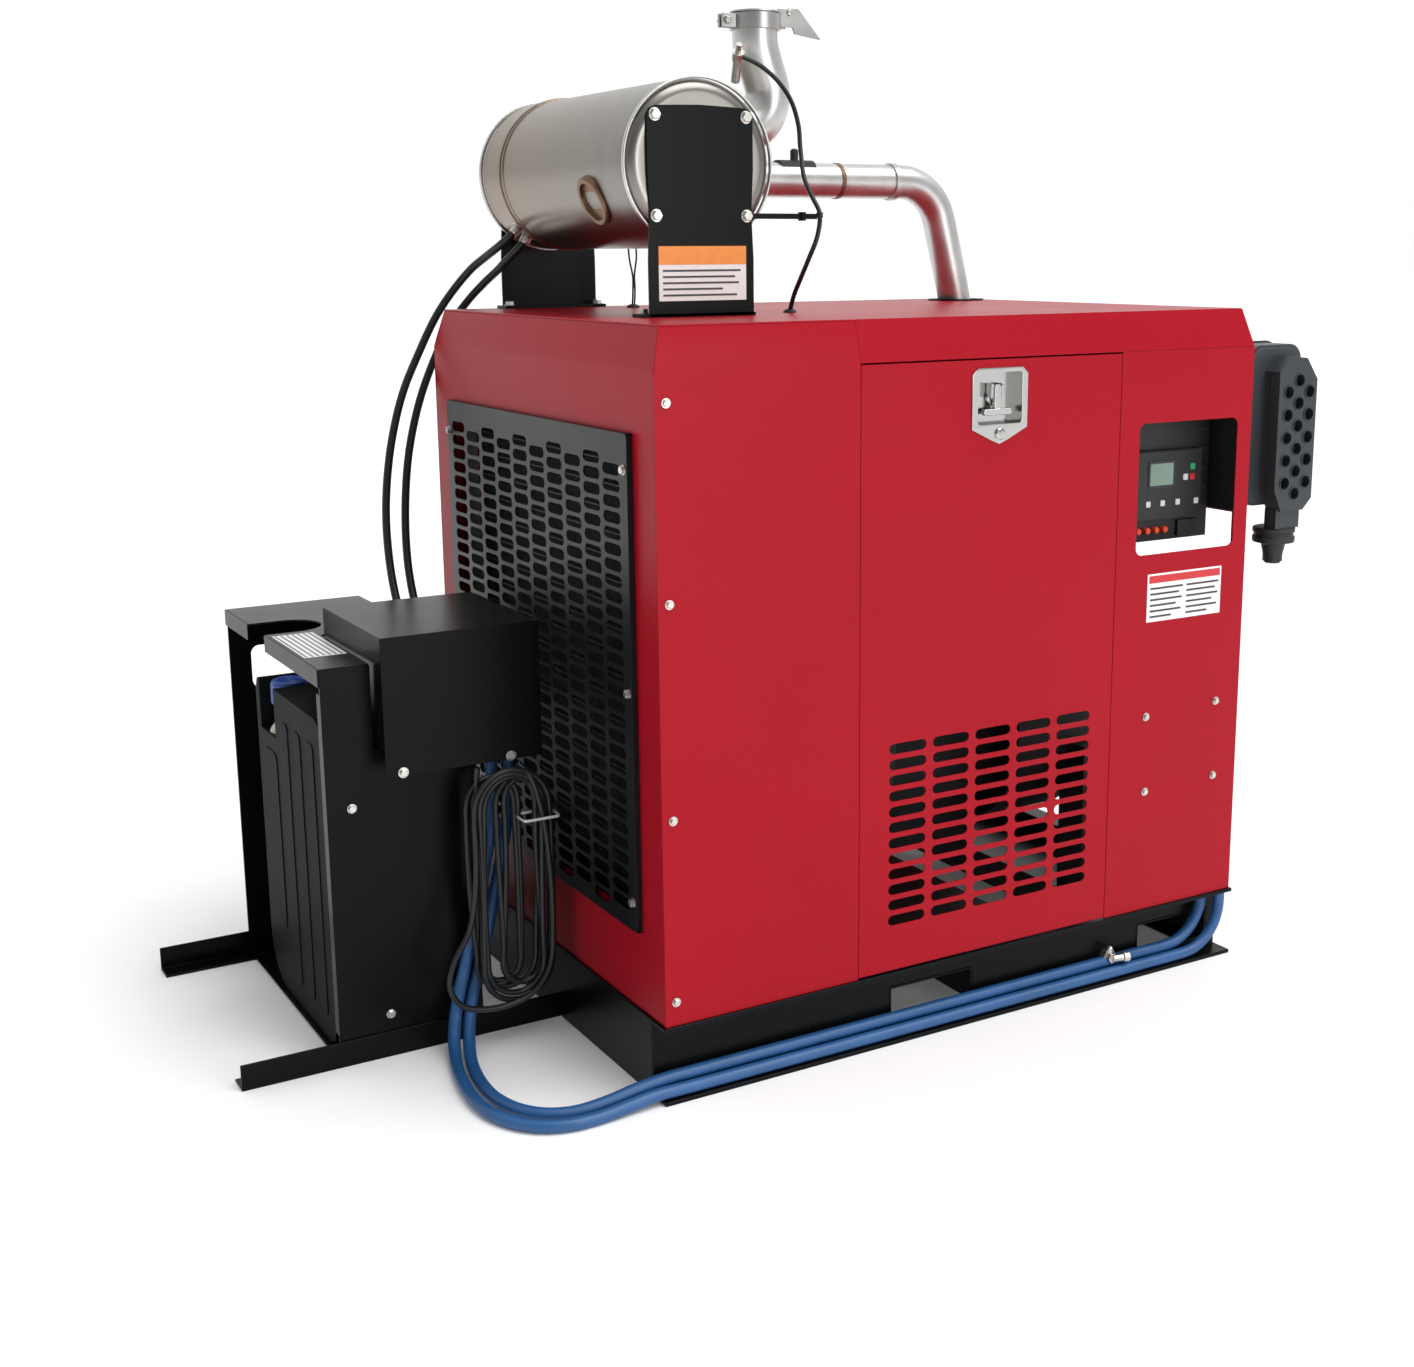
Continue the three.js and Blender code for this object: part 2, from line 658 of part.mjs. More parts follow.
const elbowOut = arcPoints(461, OUTLET.y, 1795, 72, -75, 12, 6);
const outletLine = [
  [canisterEdge - 40, OUTLET.y, 1700],
  [440, OUTLET.y, 1712],
  ...elbowOut,
  [517, OUTLET.y, 1852],
  [OUTLET.x, OUTLET.y, 1892],
  [OUTLET.x, OUTLET.y, OUTLET.top],
];
const boreDepth = 60;
add(
  "exhaust_outlet_pipe",
  cut(
    tube(outletLine, OUTLET.r, { sides: 16, steps: 20 }),
    canisterRoom,
    disc("z", [OUTLET.x, OUTLET.y], OUTLET.top - boreDepth, OUTLET.top + 1, OUTLET.r - 3, 16),
  ),
  "stainless",
);
const collarZ = [1916, 1946];
const hingeLug = FLAP.hingeX + 9;
add(
  "rain_cap_collar",
  cut(
    join(
      disc("z", [OUTLET.x, OUTLET.y], ...collarZ, OUTLET.r + 6, 24),
      block([OUTLET.x - 78, OUTLET.x - 40], grow([OUTLET.y, OUTLET.y], 11), [1918, 1944]),
      block([OUTLET.x + 40, hingeLug], grow([OUTLET.y, OUTLET.y], 17), [1924, 1944]),
      block([FLAP.hingeX - 9, hingeLug], grow([OUTLET.y, OUTLET.y], 17), [1943, 1958]),
    ),
    disc("z", [OUTLET.x, OUTLET.y], collarZ[0] - 1, collarZ[1] + 1, OUTLET.r + 1, 24),
    block([OUTLET.x - 79, OUTLET.x - 44], grow([OUTLET.y, OUTLET.y], 4), [1915, 1947]),
    block([OUTLET.x + 50, hingeLug + 1], grow([OUTLET.y, OUTLET.y], 12), [1923, 1959]),
  ),
  "bright",
);
const tail = outline([
  [FLAP.hingeX + 8, 1962],
  [FLAP.hingeX + 30, 1962],
  [FLAP.hingeX + 82, 1906],
  [FLAP.hingeX + 22, 1914],
  [FLAP.hingeX + 8, 1948],
]);
add(
  "rain_cap_flap",
  join(
    disc("z", [OUTLET.x, OUTLET.y], 1947, 1953, OUTLET.r + 6, 24),
    block([OUTLET.x, FLAP.hingeX + 10], grow([OUTLET.y, OUTLET.y], 11), [1947, 1955]),
    prism(tail, "y", OUTLET.y - 3, OUTLET.y + 3),
  ),
  "bright",
);

// Air cleaner on the drive end

add(
  "air_cleaner_housing",
  join(
    prism(
      roundedOutline(CLEANER.x0, CLEANER.x1, CLEANER.z0, CLEANER.z1, 34),
      "y",
      CLEANER.y0,
      CLEANER.y1,
    ),
    ...[1010, 1230].map((z) => block([LENGTH + GAP, CLEANER.x0 + 5], [90, 250], [z, z + 30])),
    disc("x", [DUCT_HOLE.y, DUCT_HOLE.z], LENGTH + 12, CLEANER.x0 + 5, 52, 20),
  ),
  "plastic",
);
const faceOutline = outline([
  [1431, 1000],
  [1452, 956],
  [1516, 956],
  [1540, 980],
  [1540, 1228],
  [1508, 1272],
  [1470, 1276],
  [1431, 1246],
]);
const holeColumns = [
  { x: 1458, z: 1015, count: 5 },
  { x: 1488, z: 992, count: 6 },
  { x: 1518, z: 1015, count: 5 },
];
add(
  "air_precleaner",
  cut(
    join(
      prism(faceOutline, "y", -5, CLEANER.y0 - GAP),
      block([VALVE.x - 34, VALVE.x + 34], [4, CLEANER.y0 - GAP], [918.3, 960]),
    ),
    ...holeColumns.flatMap(({ x, z, count }) =>
      Array.from({ length: count }, (_, i) => disc("y", [x, z + 47 * i], -6, 24, 13, 8)),
    ),
  ),
  "plastic",
);
add(
  "dust_valve",
  turned(
    [
      [0, 840],
      [18, 840],
      [27, 886],
      [43, 886],
      [43, 918],
      [0, 918],
    ],
    "z",
    [VALVE.x, VALVE.y, 0],
    16,
  ),
  "rubber",
);
const ductEnd = TURBO.x - 80 - GAP;
add(
  "intake_duct",
  tube(
    [
      [LENGTH + 12 - GAP, DUCT_HOLE.y, DUCT_HOLE.z],
      [1240, DUCT_HOLE.y, DUCT_HOLE.z],
      [1080, 330, 1130],
      [880, 570, 1070],
      [700, 715, 1010],
      [610, 745, 930],
      [650, TURBO.y, TURBO.z],
      [ductEnd - 30, TURBO.y, TURBO.z],
      [ductEnd, TURBO.y, TURBO.z],
    ],
    45,
    { sides: 10, steps: 20 },
  ),
  "rubber",
);

// Control module behind the window, with its keys and breakers

const moduleBox = { x0: 1112, x1: 1306, z0: 950, z1: 1092 };
const KEYS = [
  { name: "key_start", x: 1279, z: 1055, finish: "green" },
  { name: "key_stop", x: 1279, z: 1034, finish: "stop" },
  { name: "key_mode", x: 1260, z: 1034, finish: "pale" },
];
const BREAKERS = [
  { name: "breaker_1", x: 1166 },
  { name: "breaker_2", x: 1190 },
];
const boxFace = DISPLAY_Y + 12;
const breakerZ = 928;
const around = (middle, half) => [middle - half, middle + half];
const keyBlock = ({ x, z }, half, depth) => block(around(x, half), depth, around(z, half));
add(
  "control_box",
  cut(
    join(
      block([1040, 1336], [boxFace, 180], [905, 1185]),
      block([moduleBox.x0, moduleBox.x1], [DISPLAY_Y, boxFace + 1], [moduleBox.z0, moduleBox.z1]),
      block([1320, LENGTH - SHEET - GAP], [140, 172], [1010, 1100]),
    ),
    ...KEYS.map((key) => keyBlock(key, 7, [DISPLAY_Y - 1, DISPLAY_Y + 5])),
    ...BREAKERS.map(({ x }) => disc("y", [x, breakerZ], boxFace - 1, boxFace + 8, 7.6, 12)),
  ),
  "plastic",
);
for (const key of KEYS) add(key.name, keyBlock(key, 6.5, [DISPLAY_Y - 3, DISPLAY_Y + 2]), key.finish);
for (const { name, x } of BREAKERS) {
  add(name, disc("y", [x, breakerZ], boxFace - 12, boxFace + 3, 7, 12), "stop");
}

// Stand with the fluid tank

function rail(outer, side) {
  const at = (distance) => outer + side * distance;
  const { leg, plate } = RAIL;
  const section = outline([
    [at(0), 0],
    [at(leg), 0],
    [at(leg), plate],
    [at(plate), plate],
    [at(plate), leg],
    [at(0), leg],
  ]);
  return prism(section, "x", RAIL.x0, -SKID.overhang - GAP);
}
add("stand_rail_front", rail(RAIL.nearY, 1), "black");
add("stand_rail_rear", rail(RAIL.farY, -1), "black");

const plateOuter = RAIL.plate + GAP; // side plates stand inside the rails' upright legs
const standFloor = RAIL.plate + GAP;
const standY = [RAIL.nearY + plateOuter, RAIL.farY - plateOuter];
const sideTop = STAND.top - SHEET - GAP;
const RETURN = 24; // front side plate's folded edge
const coverNotchX = COVER.x0 - 4; // the front side plate and the tank stay clear of the cover
const coverNotchZ = COVER.z0 - 6;
add(
  "stand_side_front",
  join(
    block([STAND.x0 + GAP, coverNotchX], [standY[0], standY[0] + RAIL.plate], [standFloor, sideTop]),
    block([STAND.x0 + GAP, STAND.x1], [standY[0], standY[0] + RAIL.plate], [standFloor, coverNotchZ]),
    block([STAND.x0 + GAP, STAND.x0 + RAIL.plate], [standY[0], standY[0] + RETURN], [60, sideTop - 45]),
  ),
  "black",
);
const HAND_HOLE = { x0: -405, x1: -285, z0: 590, z1: 682, r: 18 };
add(
  "stand_side_rear",
  cut(
    block([STAND.x0 + GAP, STAND.x1], [standY[1] - RAIL.plate, standY[1]], [standFloor, sideTop]),
    prism(
      roundedOutline(HAND_HOLE.x0, HAND_HOLE.x1, HAND_HOLE.z0, HAND_HOLE.z1, HAND_HOLE.r),
      "y",
      standY[1] - 10,
      standY[1] + 1,
    ),
  ),
  "black",
);
const trayY = grow(standY, -RAIL.plate - GAP);
add(
  "stand_tray",
  join(
    block([STAND.x0, STAND.x1], trayY, [standFloor, standFloor + SHEET]),
    block([STAND.x1 - SHEET, STAND.x1], trayY, [standFloor, 60]),
  ),
  "black",
);
const topZ = [STAND.top - SHEET, STAND.top];
const slot = join(
  block([STAND.x0 - SHEET - 1, STAND.slotX], grow([STAND.slotY, STAND.slotY], STAND.slotR), [700, 800]),
  disc("z", [STAND.slotX, STAND.slotY], 700, 800, STAND.slotR, 32),
);
add(
  "stand_top_plate",
  cut(
    join(
      block([STAND.x0, STAND.stripX], standY, topZ),
      block([STAND.x0, STAND.x1], [COVER.y1 + 4, standY[1]], topZ),
      block([STAND.x0 - SHEET, STAND.x0 + 0.01], standY, [STAND.top - STAND.lip, STAND.top]),
    ),
    slot,
  ),
  "black",
);

const tankSide = new THREE.Shape();
tankSide.moveTo(TANK.y0 + 40, TANK.z0);
tankSide.lineTo(TANK.y1 - TANK.r, TANK.z0);
tankSide.absarc(TANK.y1 - TANK.r, TANK.z0 + TANK.r, TANK.r, -Math.PI / 2, 0);
tankSide.lineTo(TANK.y1, TANK.z1 - 30);
tankSide.lineTo(TANK.y1 - 12, TANK.z1);
tankSide.lineTo(TANK.y0 + 12, TANK.z1);
tankSide.lineTo(TANK.y0, TANK.z1 - 30);
tankSide.lineTo(TANK.y0, TANK.z0 + 40);
add(
  "fluid_tank",
  join(
    cut(
      prism(tankSide, "x", TANK.x0, TANK.x1),
      block([TANK.x0 - 1, FILLER.x + 48], grow([FILLER.y, FILLER.y], 50), [FILLER.floor, TANK.z1 + 1]),
      block([coverNotchX, TANK.x1 + 1], [TANK.y0 - 1, COVER.y1 + 4], [coverNotchZ, TANK.z1 + 1]),
    ),
    disc("z", [FILLER.x, FILLER.y], FILLER.floor - 1, FILLER.rim, 24, 16),
  ),
  "plastic",
);
add("tank_cap", disc("z", [FILLER.x, FILLER.y], FILLER.rim + GAP, FILLER.top, 38, 20), "cap");

const PUMP = { x0: -150, x1: -60, y0: 432, y1: 640, z0: 592, z1: 770 };
add(
  "dosing_pump",
  join(
    block([PUMP.x0, PUMP.x1], [PUMP.y0, PUMP.y1], [PUMP.z0, PUMP.z1]),
    block([PUMP.x0 + 10, PUMP.x1 - 10], [COVER.y0 + SHEET + GAP, PUMP.y0 + 1], [640, 700]),
  ),
  "plastic",
);
const lineNotch = { x0: -170, x1: -70, top: 712 }; // where the two dosing lines pass the cover
add(
  "pump_cover",
  join(
    cut(
      block([COVER.x0, COVER.x1], [COVER.y0, COVER.y1], [COVER.z0, COVER.z1]),
      block(
        [lineNotch.x0, lineNotch.x1],
        [COVER.y1 - SHEET - 1, COVER.y1 + 1],
        [COVER.z0 - 1, lineNotch.top],
      ),
      block(
        grow([COVER.x0, COVER.x1], -SHEET),
        grow([COVER.y0, COVER.y1], -SHEET),
        [COVER.z0 - 1, COVER.z1 - SHEET],
      ),
    ),
    block([COVER.x0, COVER.x1], [COVER.y0, COVER.y0 + SHEET], [COVER.frontZ, COVER.z1]),
  ),
  "black",
);

// Hoses, lines and leads

const hoseR = 12;
const flangeTop = SKID.flange + hoseR;
const flangeUnder = BASE_Z - SKID.flange - 1;
const floorZ = hoseR + 0.5; // centreline of a hose lying on the floor
const hoseA = [
  [-128, 462, PUMP.z0 - 1],
  [-128, 461, 560],
  [-131, 454, 510],
  [-140, 441, 440],
  [-160, 433, 350],
  [-186, 431, 240],
  [-208, 430, 160],
  [-222, 429, 114],
  [-234, 421, 76],
  [-247, 400, 43],
  [-260, 367, 21],
  [-272, 326, floorZ],
  [-288, 250, floorZ],
  [-295, 170, floorZ],
  [-288, 110, floorZ],
  [-266, 60, floorZ],
  [-230, 23, floorZ],
  [-184, 4, floorZ],
  [-130, 2, floorZ],
  [-76, 5, floorZ + 4],
  [-24, 8, flangeTop + 1],
  [60, 9, flangeTop + 0.5],
  [300, 9, flangeTop + 0.5],
  [620, 9, flangeTop + 0.5],
  [940, 9, flangeTop + 0.5],
  [1150, 9, flangeTop + 0.5],
  [1210, 9, flangeTop + 0.5],
  [1244, 9, flangeTop + 1],
  [1274, 9, 26],
  [1301, 9, 40],
  [1322, 9, 61],
  [1336, 9, 88],
  [1341, 9, 118],
  [1341, 9, flangeUnder],
];
const hoseB = [
  [-96, 462, PUMP.z0 - 1],
  [-96, 461, 560],
  [-99, 454, 510],
  [-108, 441, 440],
  [-129, 434, 350],
  [-156, 432, 240],
  [-178, 431, 160],
  [-192, 430, 114],
  [-204, 422, 76],
  [-217, 401, 43],
  [-230, 368, 21],
  [-242, 328, floorZ],
  [-256, 265, floorZ],
  [-262, 200, floorZ],
  [-258, 150, floorZ],
  [-240, 98, floorZ],
  [-206, 60, floorZ],
  [-160, 40, floorZ + 1],
  [-105, 32, floorZ + 8],
  [-45, 29, floorZ + 19],
  [10, 28, flangeTop + 18],
  [60, 28, flangeTop + 18.5],
  [300, 28, flangeTop + 18.5],
  [620, 28, flangeTop + 18.5],
  [940, 28, flangeTop + 18.5],
  [1130, 28, flangeTop + 18.5],
  [1209, 28, flangeTop + 18.5],
  [1239, 28, 43],
  [1266, 28, 57],
  [1287, 28, 78],
  [1301, 28, 105],
  [1306, 28, 133],
  [1306, 28, flangeUnder],
];
add("coolant_hose_a", tube(hoseA, hoseR, { sides: 8, steps: 50 }), "hose");
add("coolant_hose_b", tube(hoseB, hoseR, { sides: 8, steps: 50 }), "hose");

const lineR = 8.5;
const lineA = [
  [147, 905, 1539],
  [135, 914, 1525],
  [124, 929, 1511],
  [115, 951, 1498],
  [105, 982, 1482],
  [88, 1013, 1460],
  [58, 1040, 1418],
  [18, 1048, 1362],
  [-28, 1044, 1282],
  [-72, 1030, 1200],
  [-112, 1005, 1090],
  [-138, 975, 970],
  [-148, 940, 865],
  [-151, 896, 785],
  [-150, 848, 728],
  [-147, 790, 694],
  [-142, 725, 684],
  [-136, 680, 684],
  [-135, PUMP.y1 + 1, 684],
];
const lineB = [
  [168, 905, 1521],
  [158, 914, 1505],
  [148, 930, 1489],
  [140, 952, 1474],
  [132, 984, 1454],
  [114, 1015, 1428],
  [84, 1042, 1388],
  [44, 1049, 1334],
  [4, 1046, 1262],
  [-36, 1034, 1176],
  [-72, 1010, 1070],
  [-95, 980, 955],
  [-107, 944, 855],
  [-111, 900, 778],
  [-110, 850, 724],
  [-106, 792, 693],
  [-100, 728, 684],
  [-95, 680, 684],
  [-94, PUMP.y1 + 1, 684],
];
add("dosing_line_a", tube(lineA, lineR, { sides: 8, steps: 40 }), "rubber");
add("dosing_line_b", tube(lineB, lineR, { sides: 8, steps: 40 }), "rubber");

const hankOutline = new THREE.Shape();
hankOutline.moveTo(-180, 556);
hankOutline.lineTo(-203, 480);
hankOutline.lineTo(-208, 240);
hankOutline.lineTo(-290, 196);
hankOutline.lineTo(-306, 160);
hankOutline.lineTo(-280, 128);
hankOutline.absarc(-124, 152, 78, Math.PI * 1.1, Math.PI * 1.9);
hankOutline.lineTo(-38, 240);
hankOutline.lineTo(-40, 480);
hankOutline.lineTo(-62, 556);
add("harness_hank", prism(hankOutline, "y", 372, 415, 8), "rubber");

const leadR = 4.5;
const leadClipZ = 1562; // where the lead is tied to the bracket's arm
const sensorLead = [
  [432, 452, 1856],
  [452, 446, 1848],
  [476, 438, 1833],
  [502, 428, 1807],
  [519, 416, 1775],
  [526, 402, 1731],
  [522, 388, 1685],
  [514, 362, 1632],
  [511, 326, 1592],
  [513, 304, leadClipZ],
  [505, 300, 1520],
  [494, 312, 1480],
  [489, 336, 1440],
  [490, 362, 1408],
  [492, 380, ROOF_Z + 3],
];
add("sensor_lead", tube(sensorLead, leadR, { sides: 8, steps: 26 }), "rubber");

// The finished model stands on the floor with the middle of its footprint at the origin.
const footprintX = [RAIL.x0, CLEANER.x1];
const footprintY = [-SKID.overhang, RAIL.farY];
machine.position.set(
  -(footprintX[0] + footprintX[1]) / 2,
  -(footprintY[0] + footprintY[1]) / 2,
  0,
);
const model = new THREE.Group();
model.add(machine);
export default model;
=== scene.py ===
"""An enclosed diesel power unit on a skid, with a fluid tank stand at its radiator end."""

import math

import bmesh
import bpy
from mathutils import Matrix, Vector


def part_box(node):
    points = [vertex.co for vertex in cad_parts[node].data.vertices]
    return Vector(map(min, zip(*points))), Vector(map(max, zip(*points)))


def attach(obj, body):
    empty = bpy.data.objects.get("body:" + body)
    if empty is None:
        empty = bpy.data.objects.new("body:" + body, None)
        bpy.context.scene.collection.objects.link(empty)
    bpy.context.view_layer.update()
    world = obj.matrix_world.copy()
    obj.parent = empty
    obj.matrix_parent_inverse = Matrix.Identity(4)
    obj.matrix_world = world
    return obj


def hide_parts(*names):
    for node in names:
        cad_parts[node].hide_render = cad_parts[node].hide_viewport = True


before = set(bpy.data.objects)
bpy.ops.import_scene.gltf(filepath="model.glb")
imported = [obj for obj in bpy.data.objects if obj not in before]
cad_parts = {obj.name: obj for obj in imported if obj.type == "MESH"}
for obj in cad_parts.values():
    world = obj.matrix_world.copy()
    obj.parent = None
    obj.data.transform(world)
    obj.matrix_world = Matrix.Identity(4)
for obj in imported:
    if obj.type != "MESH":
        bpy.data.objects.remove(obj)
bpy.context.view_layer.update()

# Positions are in millimetres from the enclosure's near lower corner: X along the front to the drive
# end, Y to the rear, Z up from the floor.
ORIGIN = Vector((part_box("rear_panel")[0][0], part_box("control_end_panel")[0][1], 0))
LENGTH, DEPTH, ROOF_Z = 1360, 1024, 1376
CRANK, FAN = (512, 470), (512, 640)  # the axes of crankshaft and fan, as (Y, Z)
CANISTER = (258, 1650)  # the catalyst canister's axis, as (X, Z)
INLET = (850, 1646)  # the inlet pipe's level run, as (Y, Z)
OUTLET = (506, 530)  # the outlet pipe's mouth, as (X, Y)
MOUTH_Z = 1938
BREAKER_Z = 928
FILLER = (-392, 866)  # the tank's filler neck, as (X, Y)
RIGHT, LEFT = (1, 0, 0), (-1, 0, 0)
BACK, FRONT = (0, 1, 0), (0, -1, 0)
UP, DOWN = (0, 0, 1), (0, 0, -1)
SHARP = math.radians(32)  # edges steeper than this stay sharp


def at(x, y, z):
    return ORIGIN + Vector((x, y, z)) / 1000


# Camera

CAMERA_AT = (-1.7899, -3.1885, 1.4971)
YAW, PITCH, ROLL = 0.5389, -0.2063, -0.005
forward = Vector((math.sin(YAW) * math.cos(PITCH), math.cos(YAW) * math.cos(PITCH), math.sin(PITCH)))
level = Vector((math.cos(YAW), -math.sin(YAW), 0))
above = level.cross(forward)
right = math.cos(ROLL) * level + math.sin(ROLL) * above
up = math.cos(ROLL) * above - math.sin(ROLL) * level
camera = bpy.data.objects.new("camera", bpy.data.cameras.new("camera"))
camera.data.sensor_width = 36
camera.data.lens = 45.5
camera.data.shift_x = -0.0512
camera.data.shift_y = -0.0428
turn = Matrix((right, up, -forward)).transposed().to_4x4()
camera.matrix_world = Matrix.Translation(CAMERA_AT) @ turn
bpy.context.scene.collection.objects.link(camera)
bpy.context.scene.camera = camera

# Materials


def material(name, colour, rough, metal=0.0, *, mottle=0.12, scale=6.0, bump=0.0,
             grain=900.0, stretch=(1, 1, 1), specular=0.5, coat=0.0):
    """A surface whose colour and roughness drift a little, with a fine grain raised on it."""
    made = bpy.data.materials.new(name)
    made.use_nodes = True
    nodes, links = made.node_tree.nodes, made.node_tree.links
    shader = nodes["Principled BSDF"]
    shader.inputs["Metallic"].default_value = metal
    shader.inputs["Specular IOR Level"].default_value = specular
    shader.inputs["Coat Weight"].default_value = coat
    shader.inputs["Coat Roughness"].default_value = 0.15
    place = nodes.new("ShaderNodeTexCoord")
    mapping = nodes.new("ShaderNodeMapping")
    mapping.inputs["Scale"].default_value = stretch
    links.new(place.outputs["Object"], mapping.inputs["Vector"])
    noise = nodes.new("ShaderNodeTexNoise")
    noise.inputs["Scale"].default_value = scale
    noise.inputs["Detail"].default_value = 5
    links.new(mapping.outputs["Vector"], noise.inputs["Vector"])
    ramp = nodes.new("ShaderNodeValToRGB")
    ramp.color_ramp.elements[0].position = 0.3
    ramp.color_ramp.elements[1].position = 0.7
    dark = [c * (1 - mottle) for c in colour]
    light = [min(1.0, c * (1 + mottle)) for c in colour]
    ramp.color_ramp.elements[0].color = (*dark, 1)
    ramp.color_ramp.elements[1].color = (*light, 1)
    links.new(noise.outputs["Fac"], ramp.inputs["Fac"])
    links.new(ramp.outputs["Color"], shader.inputs["Base Color"])
    spread = nodes.new("ShaderNodeMapRange")
    spread.inputs["To Min"].default_value = max(0.03, rough - 0.06)
    spread.inputs["To Max"].default_value = min(1.0, rough + 0.06)
    links.new(noise.outputs["Fac"], spread.inputs["Value"])
    links.new(spread.outputs["Result"], shader.inputs["Roughness"])
    if bump:
        fine = nodes.new("ShaderNodeTexNoise")
        fine.inputs["Scale"].default_value = grain
        fine.inputs["Detail"].default_value = 3
        links.new(mapping.outputs["Vector"], fine.inputs["Vector"])
        raised = nodes.new("ShaderNodeBump")
        raised.inputs["Strength"].default_value = bump
        raised.inputs["Distance"].default_value = 0.0006
        links.new(fine.outputs["Fac"], raised.inputs["Height"])
        links.new(raised.outputs["Normal"], shader.inputs["Normal"])
    return made


def heat_tinted(name, colour, warm, rough, start, end):
    """Stainless that warms from one colour to another along Y, as an exhaust does."""
    made = material(name, colour, rough, 1.0, mottle=0.1, scale=4, bump=0.15, grain=260,
                    stretch=(1, 9, 1))
    nodes, links = made.node_tree.nodes, made.node_tree.links
    ramp = next(n for n in nodes if n.bl_idname == "ShaderNodeValToRGB")
    split = nodes.new("ShaderNodeSeparateXYZ")
    place = next(n for n in nodes if n.bl_idname == "ShaderNodeTexCoord")
    links.new(place.outputs["Object"], split.inputs["Vector"])
    along = nodes.new("ShaderNodeMapRange")
    along.inputs["From Min"].default_value = start
    along.inputs["From Max"].default_value = end
    links.new(split.outputs["Y"], along.inputs["Value"])
    blend = nodes.new("ShaderNodeMix")
    blend.data_type = "RGBA"
    colour_in = [s for s in blend.inputs if s.type == "RGBA"]
    colour_in[1].default_value = (*warm, 1)
    links.new(along.outputs["Result"], blend.inputs["Factor"])
    links.new(ramp.outputs["Color"], colour_in[0])
    colour_out = next(s for s in blend.outputs if s.type == "RGBA")
    links.new(colour_out, nodes["Principled BSDF"].inputs["Base Color"])
    return made


RED = material("red_powder_coat", (0.34, 0.003, 0.012), 0.36, mottle=0.04, scale=3, bump=0.12,
               grain=1400, specular=0.14)
BLACK = material("black_powder_coat", (0.0022, 0.003, 0.0032), 0.3, mottle=0.15, bump=0.15, grain=1300,
                 specular=0.12)
GRILLE_BLACK = material("black_grille", (0.006, 0.0075, 0.0085), 0.32, mottle=0.15, bump=0.15,
                        specular=0.25)
CAST = material("engine_casting", (0.018, 0.02, 0.022), 0.62, 0.3, mottle=0.25, scale=9, bump=0.5,
                grain=420)
STEEL = material("machined_steel", (0.42, 0.42, 0.41), 0.32, 0.9, mottle=0.1, bump=0.08, grain=500,
                 stretch=(1, 1, 8))
STAINLESS = heat_tinted("stainless", (0.25, 0.24, 0.222), (0.25, 0.205, 0.16), 0.3, -0.25, 0.45)
ALUMINISED = material("aluminised_pipe", (0.56, 0.56, 0.55), 0.34, 0.95, mottle=0.12, scale=14,
                      bump=0.2, grain=500)
BLUED = material("weld_tint", (0.2, 0.12, 0.07), 0.4, 0.8, mottle=0.3, scale=40,
                 bump=0.5, grain=300)
ZINC = material("zinc_plate", (0.6, 0.59, 0.55), 0.28, 0.9, mottle=0.15, scale=90)
POLISHED = material("polished_latch", (0.5, 0.5, 0.49), 0.16, 1.0, mottle=0.05, scale=30)
FINS = material("radiator_metal", (0.05, 0.052, 0.055), 0.45, 0.6, mottle=0.25, scale=30)
GREY = material("moulded_grey", (0.024, 0.029, 0.034), 0.42, mottle=0.12, bump=0.25, grain=700)
MOULDED = material("moulded_black", (0.012, 0.013, 0.014), 0.5, mottle=0.15, bump=0.2, grain=900)
TANK = material("tank_plastic", (0.004, 0.005, 0.0055), 0.55, mottle=0.15, bump=0.25, grain=300,
                specular=0.05)
NECK = material("natural_plastic", (0.55, 0.52, 0.42), 0.45, mottle=0.08,
                bump=0.15)
CAP = material("cap_blue", (0.022, 0.062, 0.3), 0.36, mottle=0.08, bump=0.1)
RUBBER = material("black_rubber", (0.012, 0.013, 0.0135), 0.6, mottle=0.15, bump=0.3, grain=700)
HOSE = material("blue_hose", (0.017, 0.09, 0.25), 0.42, mottle=0.14, scale=12, bump=0.35, grain=600)
CONDUIT = material("black_conduit", (0.009, 0.011, 0.012), 0.36, mottle=0.15, bump=0.2, specular=0.4)
WHITE = material("label_white", (0.78, 0.78, 0.77), 0.4, mottle=0.04, scale=60)
ORANGE = material("label_orange", (0.8, 0.26, 0.03), 0.4, mottle=0.05, scale=60)
# Dark print on the labels, also used as painted shade in the outlet pipe's mouth
PRINT_AND_SHADE = material("label_print_and_shade", (0.04, 0.04, 0.045), 0.45, mottle=0.1, scale=60)
GREEN = material("key_green", (0.02, 0.35, 0.13), 0.4, mottle=0.06, scale=80)
STOP = material("key_red", (0.55, 0.02, 0.025), 0.38, mottle=0.06, scale=80)
PALE = material("key_pale", (0.6, 0.62, 0.63), 0.4, mottle=0.06, scale=80)
SCREEN = material("screen", (0.16, 0.25, 0.2), 0.16, mottle=0.08, scale=20,
                  coat=0.6)
BREAKER = material("breaker_red", (0.75, 0.07, 0.02), 0.35, mottle=0.06, scale=80)

# Building pieces


def to_axes(axis, u, v, w):
    """(u, v) on the plane across one axis, w along it."""
    return at(*{"x": (w, u, v), "y": (u, w, v), "z": (u, v, w)}[axis])


def paint(obj, look):
    mesh = obj.data
    mesh.materials.clear()
    mesh.materials.append(look)
    mesh.shade_smooth()
    mesh.set_sharp_from_angle(angle=SHARP)


def hold(obj, body, replaces):
    """Put a piece on its body, and hide the CAD node that it stands for."""
    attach(obj, body)
    if replaces:
        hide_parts(replaces)


def settle(obj, look, body="machine", slot=None, replaces=None, bevel=0.0, segments=2):
    paint(obj, look)
    if bevel:
        round_edges(obj, bevel, segments)
    even_shading(obj)
    hold(obj, body, replaces)


